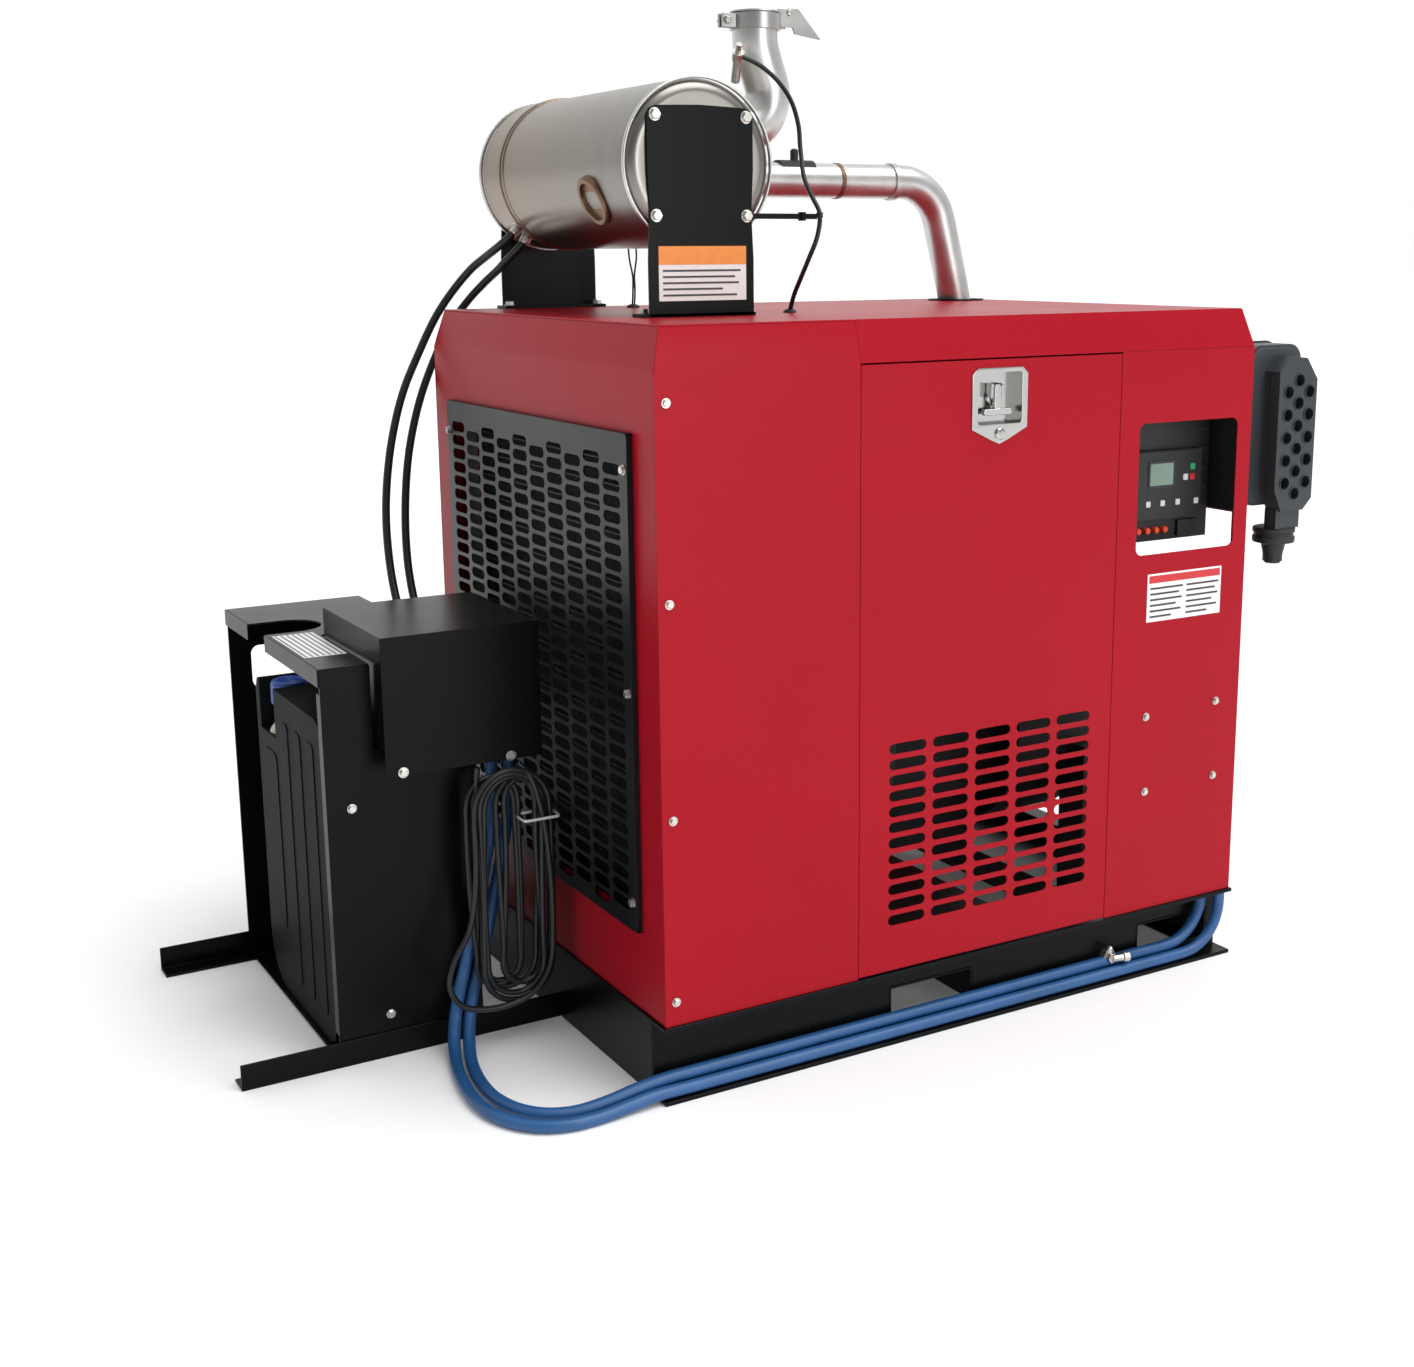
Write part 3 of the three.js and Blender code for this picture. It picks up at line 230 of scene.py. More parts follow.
def round_edges(obj, width, segments):
    made = obj.modifiers.new("edges", "BEVEL")
    made.width = width / 1000
    made.segments = segments
    made.limit_method = "ANGLE"
    made.angle_limit = math.radians(38)
    made.harden_normals = True


def even_shading(obj):
    """Large flat faces keep their own normal, so that their shading stays flat."""
    made = obj.modifiers.new("even", "WEIGHTED_NORMAL")
    made.weight = 100
    made.keep_sharp = True


def link(name, mesh):
    obj = bpy.data.objects.new(name, mesh)
    bpy.context.scene.collection.objects.link(obj)
    return obj


class Shape:
    """Closed solids gathered into one mesh, in model coordinates."""

    def __init__(self):
        self.mesh = bmesh.new()

    def add(self, points, faces):
        corners = [self.mesh.verts.new(p) for p in points]
        for face in faces:
            self.mesh.faces.new([corners[i] for i in face])
        return self

    def box(self, x, y, z):
        points = [at(a, b, c) for a in x for b in y for c in z]
        faces = [(0, 1, 3, 2), (4, 6, 7, 5), (0, 4, 5, 1), (2, 3, 7, 6), (0, 2, 6, 4), (1, 5, 7, 3)]
        return self.add(points, faces)

    def prism(self, axis, outline, a, b):
        n = len(outline)
        points = [to_axes(axis, u, v, w) for w in (a, b) for u, v in outline]
        sides = [(i, (i + 1) % n, n + (i + 1) % n, n + i) for i in range(n)]
        return self.add(points, [tuple(reversed(range(n))), tuple(range(n, 2 * n)), *sides])

    def turned(self, base, along, profile, sides=32):
        """profile is (radius, distance along) in mm, from a base point in a direction."""
        spin = Vector(along).to_track_quat("Z", "Y").to_matrix()
        points, rings = [], []
        for r, h in profile:
            count = sides if r > 1e-6 else 1
            rings.append((len(points), count))
            for i in range(count):
                a = 2 * math.pi * i / sides
                offset = spin @ Vector((r * math.cos(a), r * math.sin(a), h))
                points.append(at(*base) + offset / 1000)
        faces = []
        for (s0, n0), (s1, n1) in zip(rings, rings[1:]):
            for i in range(sides):
                j = (i + 1) % sides
                quad = [s0 + i % n0, s0 + j % n0, s1 + j % n1, s1 + i % n1]
                faces.append(tuple(dict.fromkeys(quad)))
        for start, count, flip in ((*rings[0], True), (*rings[-1], False)):
            if count > 1:
                loop = list(range(start, start + count))
                faces.append(tuple(reversed(loop)) if flip else tuple(loop))
        return self.add(points, [f for f in faces if len(f) > 2])

    def ring(self, base, along, inner, outer, h0, h1, sides=48):
        """A flat-sided ring, open through the middle."""
        loop = [(inner, h0), (outer, h0), (outer, h1), (inner, h1)]
        spin = Vector(along).to_track_quat("Z", "Y").to_matrix()
        points = []
        for i in range(sides):
            a = 2 * math.pi * i / sides
            for r, h in loop:
                points.append(at(*base) + spin @ Vector((r * math.cos(a), r * math.sin(a), h)) / 1000)
        faces = []
        for i in range(sides):
            j = (i + 1) % sides
            for k in range(4):
                m = (k + 1) % 4
                faces.append((4 * i + k, 4 * j + k, 4 * j + m, 4 * i + m))
        return self.add(points, faces)

    def bolt(self, base, along, across=17, washer=22, high=7):
        """A hexagon head on a flat washer."""
        r = across / math.sqrt(3)
        self.turned(base, along, [(0, 0), (washer / 2, 0), (washer / 2, 1.8), (0, 1.8)], 24)
        hexagon = [(0, 1.8), (r, 1.8), (r, high), (r * 0.86, high + 1.2), (0, high + 1.2)]
        return self.turned(base, along, hexagon, 6)

    def screw(self, base, along, r=7, high=4):
        """A domed pan head."""
        dome = [(0, 0), (r, 0), (r, high * 0.35), (r * 0.85, high * 0.75), (r * 0.5, high), (0, high)]
        return self.turned(base, along, dome, 20)

    def done(self, name, look, **how):
        """The piece itself: how is what settle() takes."""
        bmesh.ops.recalc_face_normals(self.mesh, faces=self.mesh.faces)
        mesh = bpy.data.meshes.new(name)
        self.mesh.to_mesh(mesh)
        self.mesh.free()
        settle(link(name, mesh), look, **how)


def arc(u, v, r, start, sweep, steps):
    """Points on an arc about (u, v), from one angle through another, in degrees."""
    angles = [math.radians(start + sweep * i / steps) for i in range(steps + 1)]
    return [(u + r * math.cos(a), v + r * math.sin(a)) for a in angles]


def circle(u, v, r, count, start=0.0):
    return arc(u, v, r, start, 360 - 360 / count, count - 1)


def obround(u, v, wide, high, steps=6):
    """A slot with round ends, its middle at (u, v)."""
    r, reach = high / 2, (wide - high) / 2
    return arc(u + reach, v, r, -90, 180, steps) + arc(u - reach, v, r, 90, 180, steps)


def rounded(u0, u1, v0, v1, r, steps=5):
    """A rectangle with round corners."""
    u0, u1, v0, v1 = u0 + r, u1 - r, v0 + r, v1 - r
    corners = ((u1, v0, -90), (u1, v1, 0), (u0, v1, 90), (u0, v0, 180))
    return [point for u, v, start in corners for point in arc(u, v, r, start, 90, steps)]


def plate(axis, outer, holes, a, b, edge=0.4):
    """A mesh of a punched sheet: an outline with holes, from a to b along one axis."""
    curve = bpy.data.curves.new("sheet", "CURVE")
    curve.dimensions = "2D"
    curve.fill_mode = "BOTH"
    curve.extrude = ((b - a) / 2 - edge) / 1000
    curve.bevel_depth = edge / 1000
    curve.bevel_resolution = 1
    curve.offset = -edge / 1000
    for loop in (outer, *holes):
        spline = curve.splines.new("POLY")
        spline.points.add(len(loop) - 1)
        for point, (u, v) in zip(spline.points, loop):
            point.co = (u / 1000, v / 1000, 0, 1)
        spline.use_cyclic_u = True
    holder = link("sheet", curve)
    bpy.context.view_layer.update()
    flat = holder.evaluated_get(bpy.context.evaluated_depsgraph_get())
    mesh = bpy.data.meshes.new_from_object(flat)
    bpy.data.objects.remove(holder)
    for vertex in mesh.vertices:
        u, v, w = vertex.co * 1000
        vertex.co = to_axes(axis, u, v, w + (a + b) / 2)
    return mesh


def punched(name, axis, outer, holes, a, b, look, extra=None, edge=0.4, **how):
    """A punched sheet as a piece, with extra solids (a Shape) joined on."""
    whole = bmesh.new()
    whole.from_mesh(plate(axis, outer, holes, a, b, edge))
    bmesh.ops.remove_doubles(whole, verts=whole.verts, dist=1e-6)
    bmesh.ops.recalc_face_normals(whole, faces=whole.faces)
    if extra:
        bmesh.ops.recalc_face_normals(extra.mesh, faces=extra.mesh.faces)
        joined = bpy.data.meshes.new("extra")
        extra.mesh.to_mesh(joined)
        whole.from_mesh(joined)
    mesh = bpy.data.meshes.new(name)
    whole.to_mesh(mesh)
    settle(link(name, mesh), look, **how)


def dress(node, look, bevel=1.2, segments=2):
    """A CAD node carried over as it is, with its edges rounded."""
    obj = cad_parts[node]
    paint(obj, look)
    weld = obj.modifiers.new("weld", "WELD")
    weld.merge_threshold = 1e-5
    flat = obj.modifiers.new("flat", "DECIMATE")
    flat.decimate_type = "DISSOLVE"
    flat.angle_limit = math.radians(1)
    if bevel:
        round_edges(obj, bevel, segments)
    even_shading(obj)


def smooth_route(points, per=7):
    """The same centripetal Catmull-Rom line that the CAD hoses follow."""
    p = [Vector(q) for q in points]
    p = [2 * p[0] - p[1], *p, 2 * p[-1] - p[-2]]
    line = []
    for i in range(1, len(p) - 2):
        d0, d1, d2 = (math.sqrt((p[i + k] - p[i + k - 1]).length) for k in (0, 1, 2))
        m1 = ((p[i] - p[i - 1]) / d0 - (p[i + 1] - p[i - 1]) / (d0 + d1) + (p[i + 1] - p[i]) / d1) * d1
        m2 = ((p[i + 1] - p[i]) / d1 - (p[i + 2] - p[i]) / (d1 + d2) + (p[i + 2] - p[i + 1]) / d2) * d1
        for step in range(per):
            t = step / per
            t2, t3 = t * t, t * t * t
            h = (2 * t3 - 3 * t2 + 1, t3 - 2 * t2 + t, 3 * t2 - 2 * t3, t3 - t2)
            line.append(h[0] * p[i] + h[1] * m1 + h[2] * p[i + 1] + h[3] * m2)
    return [*line, p[-2]]


def pipe(name, line, r, look, replaces=None, sides=5):
    """A round tube along a line of close points, as a curve of one open spline."""
    curve = bpy.data.curves.new(name, "CURVE")
    curve.dimensions = "3D"
    curve.bevel_depth = r / 1000
    curve.bevel_resolution = sides
    curve.use_fill_caps = True
    spline = curve.splines.new("POLY")
    spline.points.add(len(line) - 1)
    for point, q in zip(spline.points, line):
        point.co = (*at(*q), 1)
    spline.use_smooth = True
    curve.materials.append(look)
    obj = link(name, curve)
    hold(obj, "machine", replaces)
    return obj


def cord(name, line, diameter, look, replaces=None, sides=4):
    made = pipe(name, line, diameter / 2, look, replaces=replaces, sides=sides)


# Hoses, lines and leads

FLOOR_Z = 12.5  # centreline of a hose that lies on the floor
HOSE_A = [
    (-128, 462, 591), (-128, 461, 560), (-131, 454, 510), (-140, 441, 440), (-160, 433, 350),
    (-186, 431, 240), (-208, 430, 160), (-222, 429, 114), (-234, 421, 76), (-247, 400, 43),
    (-260, 367, 21), (-272, 326, FLOOR_Z), (-288, 250, FLOOR_Z), (-295, 170, FLOOR_Z),
    (-288, 110, FLOOR_Z), (-266, 60, FLOOR_Z), (-230, 23, FLOOR_Z), (-184, 4, FLOOR_Z),
    (-130, 2, FLOOR_Z), (-76, 5, FLOOR_Z + 4), (-24, 8, 21), (60, 9, 20.5), (300, 9, 20.5),
    (620, 9, 20.5), (940, 9, 20.5), (1150, 9, 20.5), (1210, 9, 20.5), (1244, 9, 21),
    (1274, 9, 26), (1301, 9, 40), (1322, 9, 61), (1336, 9, 88), (1341, 9, 118), (1341, 9, 139),
]
HOSE_B = [
    (-96, 462, 591), (-96, 461, 560), (-99, 454, 510), (-108, 441, 440), (-129, 434, 350),
    (-156, 432, 240), (-178, 431, 160), (-192, 430, 114), (-204, 422, 76), (-217, 401, 43),
    (-230, 368, 21), (-242, 328, FLOOR_Z), (-256, 265, FLOOR_Z), (-262, 200, FLOOR_Z),
    (-258, 150, FLOOR_Z), (-240, 98, FLOOR_Z), (-206, 60, FLOOR_Z), (-160, 40, FLOOR_Z + 1),
    (-105, 32, FLOOR_Z + 8), (-45, 29, FLOOR_Z + 19), (10, 28, 38), (60, 28, 38.5), (300, 28, 38.5),
    (620, 28, 38.5), (940, 28, 38.5), (1130, 28, 38.5), (1209, 28, 38.5), (1239, 28, 43),
    (1266, 28, 57), (1287, 28, 78), (1301, 28, 105), (1306, 28, 133), (1306, 28, 139),
]
LINE_A = [
    (147, 905, 1539), (135, 914, 1525), (124, 929, 1511), (115, 951, 1498), (105, 982, 1482),
    (88, 1013, 1460), (58, 1040, 1418), (18, 1048, 1362), (-28, 1044, 1282), (-72, 1030, 1200),
    (-112, 1005, 1090), (-138, 975, 970), (-148, 940, 865), (-151, 896, 785), (-150, 848, 728),
    (-147, 790, 694), (-142, 725, 684), (-136, 680, 684), (-135, 641, 684),
]
LINE_B = [
    (168, 905, 1521), (158, 914, 1505), (148, 930, 1489), (140, 952, 1474), (132, 984, 1454),
    (114, 1015, 1428), (84, 1042, 1388), (44, 1049, 1334), (4, 1046, 1262), (-36, 1034, 1176),
    (-72, 1010, 1070), (-95, 980, 955), (-107, 944, 855), (-111, 900, 778), (-110, 850, 724),
    (-106, 792, 693), (-100, 728, 684), (-95, 680, 684), (-94, 641, 684),
]
LEAD = [
    (432, 452, 1856), (452, 446, 1848), (476, 438, 1833), (502, 428, 1807), (519, 416, 1775),
    (526, 402, 1731), (522, 388, 1685), (514, 362, 1632), (511, 326, 1592), (513, 304, 1562),
    (505, 300, 1520), (494, 312, 1480), (489, 336, 1440), (490, 362, 1408), (492, 380, 1379),
]
cord("hose_blue_outer", smooth_route(HOSE_A), 24, HOSE, "coolant_hose_a")
cord("hose_blue_inner", smooth_route(HOSE_B), 24, HOSE, "coolant_hose_b")
cord("line_outer", smooth_route(LINE_A), 17, CONDUIT, "dosing_line_a")
cord("line_inner", smooth_route(LINE_B), 17, CONDUIT, "dosing_line_b")
cord("lead_sensor", smooth_route(LEAD), 9, CONDUIT, "sensor_lead")

# The hank: a long conduit wound into upright loops that hang from the pump cover
LAYERS = [379.5 + 12.3 * i for i in range(3)]
WIDEST = 76
LOOPS = [  # middle along X, half width and layer at the start of each turn
    (-123, WIDEST, LAYERS[0]), (-123, 64, LAYERS[0]), (-123, 52, LAYERS[0]), (-95, 40, LAYERS[1]),
    (-97, 52, LAYERS[1]), (-150, 52, LAYERS[2]), (-152, 40, LAYERS[2]), (-140, 40, LAYERS[2]),
]


def hank_line():
    """Down the right, out to a lobe at the lower left, then turn after turn in three layers."""
    points = [(-104, 386, 556), (-84, 378, 530), (-64, 370, 450), (-54, 367, 340), (-52, 367, 230),
              (-60, 367, 152), (-90, 367, 108), (-138, 367, 90), (-192, 367, 90), (-242, 367, 108),
              (-264, 367, 150), (-252, 367, 200), (-222, 367, 250), (-206, 368, 320), (-200, 372, 400)]
    per_turn = 36
    for i in range(per_turn * (len(LOOPS) - 1)):
        turn_number, part = divmod(i / per_turn, 1)
        (c0, h0, y0), (c1, h1, y1) = LOOPS[int(turn_number)], LOOPS[int(turn_number) + 1]
        early = min(1, part / 0.3)
        middle = c0 + (c1 - c0) * part * part * (3 - 2 * part)
        half = h0 + (h1 - h0) * part
        y = y0 + (y1 - y0) * early * early * (3 - 2 * early)
        low = 82 + 1.2 * (WIDEST - half)
        high = 548 - 0.6 * (WIDEST - half)
        straight = high - low - 2 * half
        s = part * (2 * straight + 2 * math.pi * half)
        if s < math.pi * half:
            x, z = -half * math.cos(s / half), high - half + half * math.sin(s / half)
        elif s < math.pi * half + straight:
            x, z = half, high - half - (s - math.pi * half)
        elif s < 2 * math.pi * half + straight:
            a = (s - straight) / half - math.pi
            x, z = half * math.cos(a), low + half - half * math.sin(a)
        else:
            x, z = -half, low + half + (s - straight - 2 * math.pi * half)
        sway = math.sin(math.pi * (z - low) / (high - low))
        aside = 6 * sway * math.sin(2.3 * (turn_number + part) + 0.6)
        points.append((middle + x + aside, y, z))
    x, y, z = points[-1]
    return [*points, (x, 403, z + 26), (x + 1, 401, 541), (x + 2, 399, 556)]


cord("hank", smooth_route(hank_line(), 3), 12, CONDUIT, "harness_hank")

# Enclosure

for node in ("radiator_end_panel", "front_corner_panel", "rear_panel", "drive_end_panel", "roof_panel"):
    dress(node, RED, 1.1)
dress("control_end_panel", RED, 1.0)
for node in ("skid_channel_front", "skid_channel_rear", "skid_end_left", "skid_end_right",
             "fork_tube_left", "fork_tube_right"):
    dress(node, BLACK, 1.6)

DOOR_X, DOOR_Z = (408, 1009), (151, 1297)
slots = [obround(516 + 99.2 * i, 251 + 30.6 * j, 84, 20) for i in range(5) for j in range(12)]
latch_hole = rounded(660.2, 767.8, 1175.7, 1276.3, 3)
folds = Shape()
folds.box((408, 411), (2.6, 18), (172, 1294)).box((1006, 1009), (2.6, 18), (172, 1294))
folds.box(DOOR_X, (2.6, 18), (1294, 1297))
punched("door_sheet", "y", rounded(*DOOR_X, *DOOR_Z, 1.5, 3), [*slots, latch_hole], 0, 3, RED,
        body="door", replaces="service_door", extra=folds, edge=0.9)

# Radiator end

GRILLE_Y, GRILLE_Z = (84, 930), (300, 1193)
COLUMNS, PITCH = 10, 28
margin = 62  # from the sheet's edge to the middle of the first column
punches = []
for column in range(COLUMNS):
    middle = GRILLE_Y[0] + margin + column * (GRILLE_Y[1] - GRILLE_Y[0] - 2 * margin) / (COLUMNS - 1)
    rows, start = (30, 330) if column % 2 else (29, 330 + PITCH / 2)
    punches += [obround(middle, start + PITCH * row, 68, 20, 4) for row in range(rows)]
rim = Shape()
for edge in (84, 928):
    rim.box((-10.2, -0.4), (edge, edge + 2), GRILLE_Z)
for edge in (300, 1191):
    rim.box((-10.2, -0.4), GRILLE_Y, (edge, edge + 2))
punched("grille_sheet", "x", rounded(*GRILLE_Y, *GRILLE_Z, 9), punches, -12, -10, GRILLE_BLACK,
        replaces="radiator_grille", extra=rim, edge=0.5)
bolts = Shape()
for z in (1131, 739, 355):
    for y in (96, 918):
        bolts.bolt((-12, y, z), LEFT, 13, 18, 6)
bolts.done("grille_bolts", ZINC)

dress("radiator_core", FINS, 2)
fins = Shape()
for i in range(96):
    y = 124 + i * 8.1
    fins.box((50, 57), (y, y + 1.2), (272, 1138))
for i in range(20):
    z = 290 + i * 44
    fins.box((47, 52), (122, 902), (z, z + 3))
fins.done("radiator_fins", FINS)
frame_side = Shape()
frame_side.box((20, 44), (108, 118), (200, 1210)).box((20, 44), (906, 916), (200, 1210))
frame_side.done("radiator_side_frames", STEEL, bevel=1)
dress("fan_shroud", MOULDED, 2)

BLADES = 8
BLADE = [  # radius, angle in radians and place along X of each corner
    (40, -0.18, 165), (320, -0.12, 165), (320, 0.1, 185), (200, 0.2, 185), (40, 0.35, 185),
]
BLADE_SHEET = 4
fan = Shape()
for i in range(BLADES):
    corners = []
    for back in (0, BLADE_SHEET):
        for r, ahead, x in BLADE:
            a = 2 * math.pi * i / BLADES + ahead
            corners.append(at(x + back, FAN[0] + r * math.cos(a), FAN[1] + r * math.sin(a)))
    n = len(BLADE)
    sides = [(k, (k + 1) % n, n + (k + 1) % n, n + k) for k in range(n)]
    fan.add(corners, [tuple(range(n)), tuple(reversed(range(n, 2 * n))), *sides])
fan.turned((165, *FAN), RIGHT, [(0, 0), (40, 0), (48, 6), (48, 50), (0, 50)], 40)
fan.turned((198, *FAN), RIGHT, [(0, 0), (74, 0), (68, 5), (68, 9), (74, 14), (0, 14)], 48)
fan.done("fan_blades", MOULDED, body="fan", replaces="cooling_fan", bevel=0.8)

# Engine, seen through the openings

for node in ("engine_block", "cylinder_head", "flywheel_housing", "turbocharger"):
    dress(node, CAST, 4, 3)
dress("exhaust_riser", STAINLESS, 0)
dress("intake_duct", RUBBER, 0)
pulley = [(0, 0), (85, 0), (78, 5), (78, 9), (85, 14), (30, 14), (30, 101), (0, 101)]
Shape().turned((198, *CRANK), RIGHT, pulley, 48).done(
    "crank_pulley_turned", CAST, body="crankshaft", replaces="crank_pulley")
wheel = Shape()
wheel.turned((1001, *CRANK), RIGHT,
             [(0, 0), (40, 0), (40, 109), (184, 109), (190, 115), (190, 143), (184, 149), (150, 149),
              (144, 141), (62, 141), (56, 149), (45, 151), (45, 227), (41, 229), (0, 229)], 72)
for y, z in circle(*CRANK, 165, 8):
    wheel.bolt((1150, y, z), RIGHT, 17, 20, 8)
wheel.done("flywheel_turned", STEEL, body="crankshaft", replaces="flywheel", bevel=0.8)
ring_bolts = Shape()
for y, z in circle(*CRANK, 219, 12, start=15):
    ring_bolts.bolt((1200, y, z), RIGHT, 14, 18, 7)
ring_bolts.done("housing_bolts", ZINC)

wraps = arc(*FAN, 71, -2, 184, 24) + arc(*CRANK, 81, 182, 176, 24)
belt_line = [(205, y, z) for y, z in wraps]
pipe("fan_belt", [*belt_line, belt_line[0]], 4.5, RUBBER, sides=3)

engine_bits = Shape()
engine_bits.box((320, 980), (330, 362), (690, 730)).box((420, 470), (300, 362), (430, 560))
oil_filter = [(0, -90), (44, -90), (48, -84), (48, 0), (30, 10), (0, 10)]
engine_bits.turned((560, 330, 470), BACK, oil_filter, 40)
alternator = [(0, 0), (66, 0), (72, 8), (72, 120), (60, 132), (0, 132)]
engine_bits.turned((680, 335, 600), RIGHT, alternator, 40)
for i in range(6):
    injector = (395 + 112 * i, CRANK[0], 940)
    engine_bits.turned(injector, UP, [(0, 0), (16, 0), (16, 26), (10, 34), (0, 34)], 20)
engine_bits.done("engine_fittings", CAST, bevel=2)
plumbing = [
    (330, 350, 800), (460, 300, 760), (600, 290, 690), (640, 250, 560), (620, 240, 400),
    (560, 250, 280), (470, 260, 240),
]
pipe("engine_hose", smooth_route(plumbing), 14, RUBBER)

# Bolts on the enclosure, and labels with bars in place of lettering

fixings = Shape()
front_bolts = [(21, 1249), (21, 910), (21, 528), (21, 193), (1103, 563), (1295, 571), (1107, 404),
               (1296, 410)]
for x, z in front_bolts:
    fixings.bolt((x, 0, z), FRONT, 11, 17, 5)
for x, z in ((140, 37), (300, 37)):
    fixings.bolt((x, 43, z), FRONT, 10, 14, 4)
for x in (60, 480, 900, 1300):
    for z in (200, 720, 1250):
        fixings.bolt((x, DEPTH, z), BACK, 11, 17, 5)
for y in (22, 1002):
    for z in (500, 990, 1250):
        fixings.bolt((LENGTH, y, z), RIGHT, 11, 17, 5)
fixings.done("panel_bolts", ZINC)

label = Shape().box((1095, 1295), (-0.5, 0.2), (759, 857))
label.box((168, 350), (301.9, 302.6), (1405, 1503)).done("labels_ground", WHITE, bevel=0.2)
Shape().box((168, 350), (301.5, 302.2), (1470, 1503)).done("label_header_orange", ORANGE)
Shape().box((1099, 1291), (-0.8, -0.4), (838, 853)).done("label_header_red", STOP)
bars = Shape()
for i, end in enumerate((1190, 1180, 1188, 1172, 1186, 1160)):
    z = 829 - 11.5 * i
    bars.box((1103, end), (-0.8, -0.4), (z - 4, z))
    bars.box((1200, end + 98), (-0.8, -0.4), (z - 4, z))
for i, end in enumerate((338, 326, 334, 300, 330)):
    z = 1461 - 11 * i
    bars.box((176, end), (301.5, 302), (z - 3.6, z))
bars.done("label_bars", PRINT_AND_SHADE)

# Latch

bezel = [(650, 1170), (694, 1149), (714, 1141), (734, 1149), (778, 1170), (778, 1270), (766, 1282),
         (662, 1282), (650, 1270)]
well = Shape()
for x in ((660.5, 663), (765, 767.5)):
    well.box(x, (-1, 26), (1176, 1276))
for z in ((1176, 1178.5), (1273.5, 1276)):
    well.box((660.5, 767.5), (-1, 26), z)
well.box((661, 767), (23.5, 26), (1177, 1275))
punched("latch_bezel", "y", bezel, [rounded(663, 765, 1178.5, 1273.5, 6)], -2.5, -0.3, POLISHED,
        body="door", replaces="latch_pan", extra=well, edge=0.8)
lock = Shape()
lock.turned((714, -2, 1160), FRONT, [(0, 0), (11, 0), (11, 3), (9, 5), (4, 5.5), (0, 5.5)], 32)
lock.box((712.8, 715.2), (-8, -6.5), (1154, 1166))
lock.done("latch_lock", POLISHED, body="door")
SPINDLE = (714, 1226)  # the latch spindle's axis, as (X, Z)
hub = Shape()
hub.turned((SPINDLE[0], 22, SPINDLE[1]), FRONT, [(0, 0), (17, 0), (17, 4), (14, 7), (0, 7)], 40)
hub.turned((SPINDLE[0], 14, SPINDLE[1]), BACK, [(0, 0), (8, 0), (8, 41), (0, 41)], 24)
for x in (SPINDLE[0] - 12, SPINDLE[0] + 12):
    hub.box((x - 3, x + 3), (6, 22), (SPINDLE[1], 1252))
    hub.screw((x, 6, 1248), FRONT, 2.9, 2)
hub.box((706, 722), (48, 53), (SPINDLE[1], 1288))
hub.done("latch_hub", POLISHED, body="latch_turn_body", replaces="latch_spindle", bevel=0.8)
handle = Shape()
handle.prism("y", rounded(706, 722, 1204, 1250.5, 5), 4, 12.5)
handle.prism("y", rounded(681, 747, 1194, 1206, 5.5), 3, 13)
handle.done("latch_t_bar", POLISHED, body="latch_t_handle", replaces="latch_handle", bevel=1.8,
            segments=3)

# Exhaust on the roof


def around_canister(y):
    return (CANISTER[0], y, CANISTER[1])


shell = [(0, 309), (118, 309), (124, 307.5), (132, 309), (141, 313), (148, 319), (151, 328), (151, 868),
         (153, 870), (153, 882), (151, 884), (151, 973), (148, 984), (140, 991), (128, 994), (0, 994)]
Shape().turned(around_canister(0), BACK, shell, 96).done(
    "canister_shell", STAINLESS, replaces="catalyst_canister")
beads = Shape().ring(around_canister(309), BACK, 150, 154, 0, 9, 96)
beads.ring(around_canister(984), BACK, 148, 154, 0, 10, 96)
beads.done("canister_end_beads", ALUMINISED, slot="stainless", bevel=1.5, segments=3)
seam = Shape().ring(around_canister(878), BACK, 151, 154.5, 0, 7, 96)
seam.done("canister_weld", BLUED, bevel=1.2)
port_angle = math.radians(25)
port_dir = Vector((-math.cos(port_angle), 0, -math.sin(port_angle)))
port_base = Vector(around_canister(470)) + port_dir * 148
port = Shape().turned(port_base, port_dir, [(48, -12), (48, 6), (45, 9), (37, 9), (35, 2), (0, 2)], 48)
port.done("canister_port", BLUED)
fitting = [(0, -12), (9, -12), (11, -8), (11, 6), (14, 6), (14, 14), (9, 14), (9, 24), (0, 24)]
fittings = Shape()
for start in (LINE_A[0], LINE_B[0]):
    inward = (Vector(around_canister(start[1])) - Vector(start)).normalized()
    fittings.turned(start, inward, fitting, 24)
fittings.done("canister_line_fittings", ZINC)

BRACKET_X, BRACKET_TOP = (149, 367), 1752
BRACKET_FRONT, BRACKET_REAR = (302.7, 308.7), (994.3, 1000.3)
FOOT_X, FOOT_Z = (137, 371), (ROOF_Z + 0.3, ROOF_Z + 6.3)


def bracket_outline():
    """A plate with a slight waist and a shallow gabled top."""
    low, top, (x0, x1) = ROOF_Z + 0.3, BRACKET_TOP, BRACKET_X
    return [(x0, low), (x1, low), (x1, 1480), (x1 - 4, 1560), (x1, 1640), (x1, top - 20),
            (x1 - 6, top - 8), (x1 - 18, top - 3), (CANISTER[0], top), (x0 + 18, top - 3),
            (x0 + 6, top - 8), (x0, top - 20), (x0, 1640), (x0 + 4, 1560), (x0, 1480)]


foot = Shape().box(FOOT_X, (302.7, 350.7), FOOT_Z)
foot.box((361, 507), BRACKET_FRONT, (1552, 1562)).box((471, 479), (299, 314), (1549, 1565))
punched("bracket_front_plate", "y", bracket_outline(), [], *BRACKET_FRONT, BLACK,
        replaces="catalyst_bracket_front", extra=foot, edge=0.8)
punched("bracket_rear_plate", "y", bracket_outline(), [], *BRACKET_REAR, BLACK,
        replaces="catalyst_bracket_rear", extra=Shape().box(FOOT_X, (952.3, 1000.3), FOOT_Z), edge=0.8)
bracket_bolts = Shape()
for x in (165, 352):
    for z in (1733, 1557):
        bracket_bolts.bolt((x, BRACKET_FRONT[0], z), FRONT, 17, 23, 8)
        bracket_bolts.bolt((x, BRACKET_REAR[1], z), BACK, 17, 23, 8)
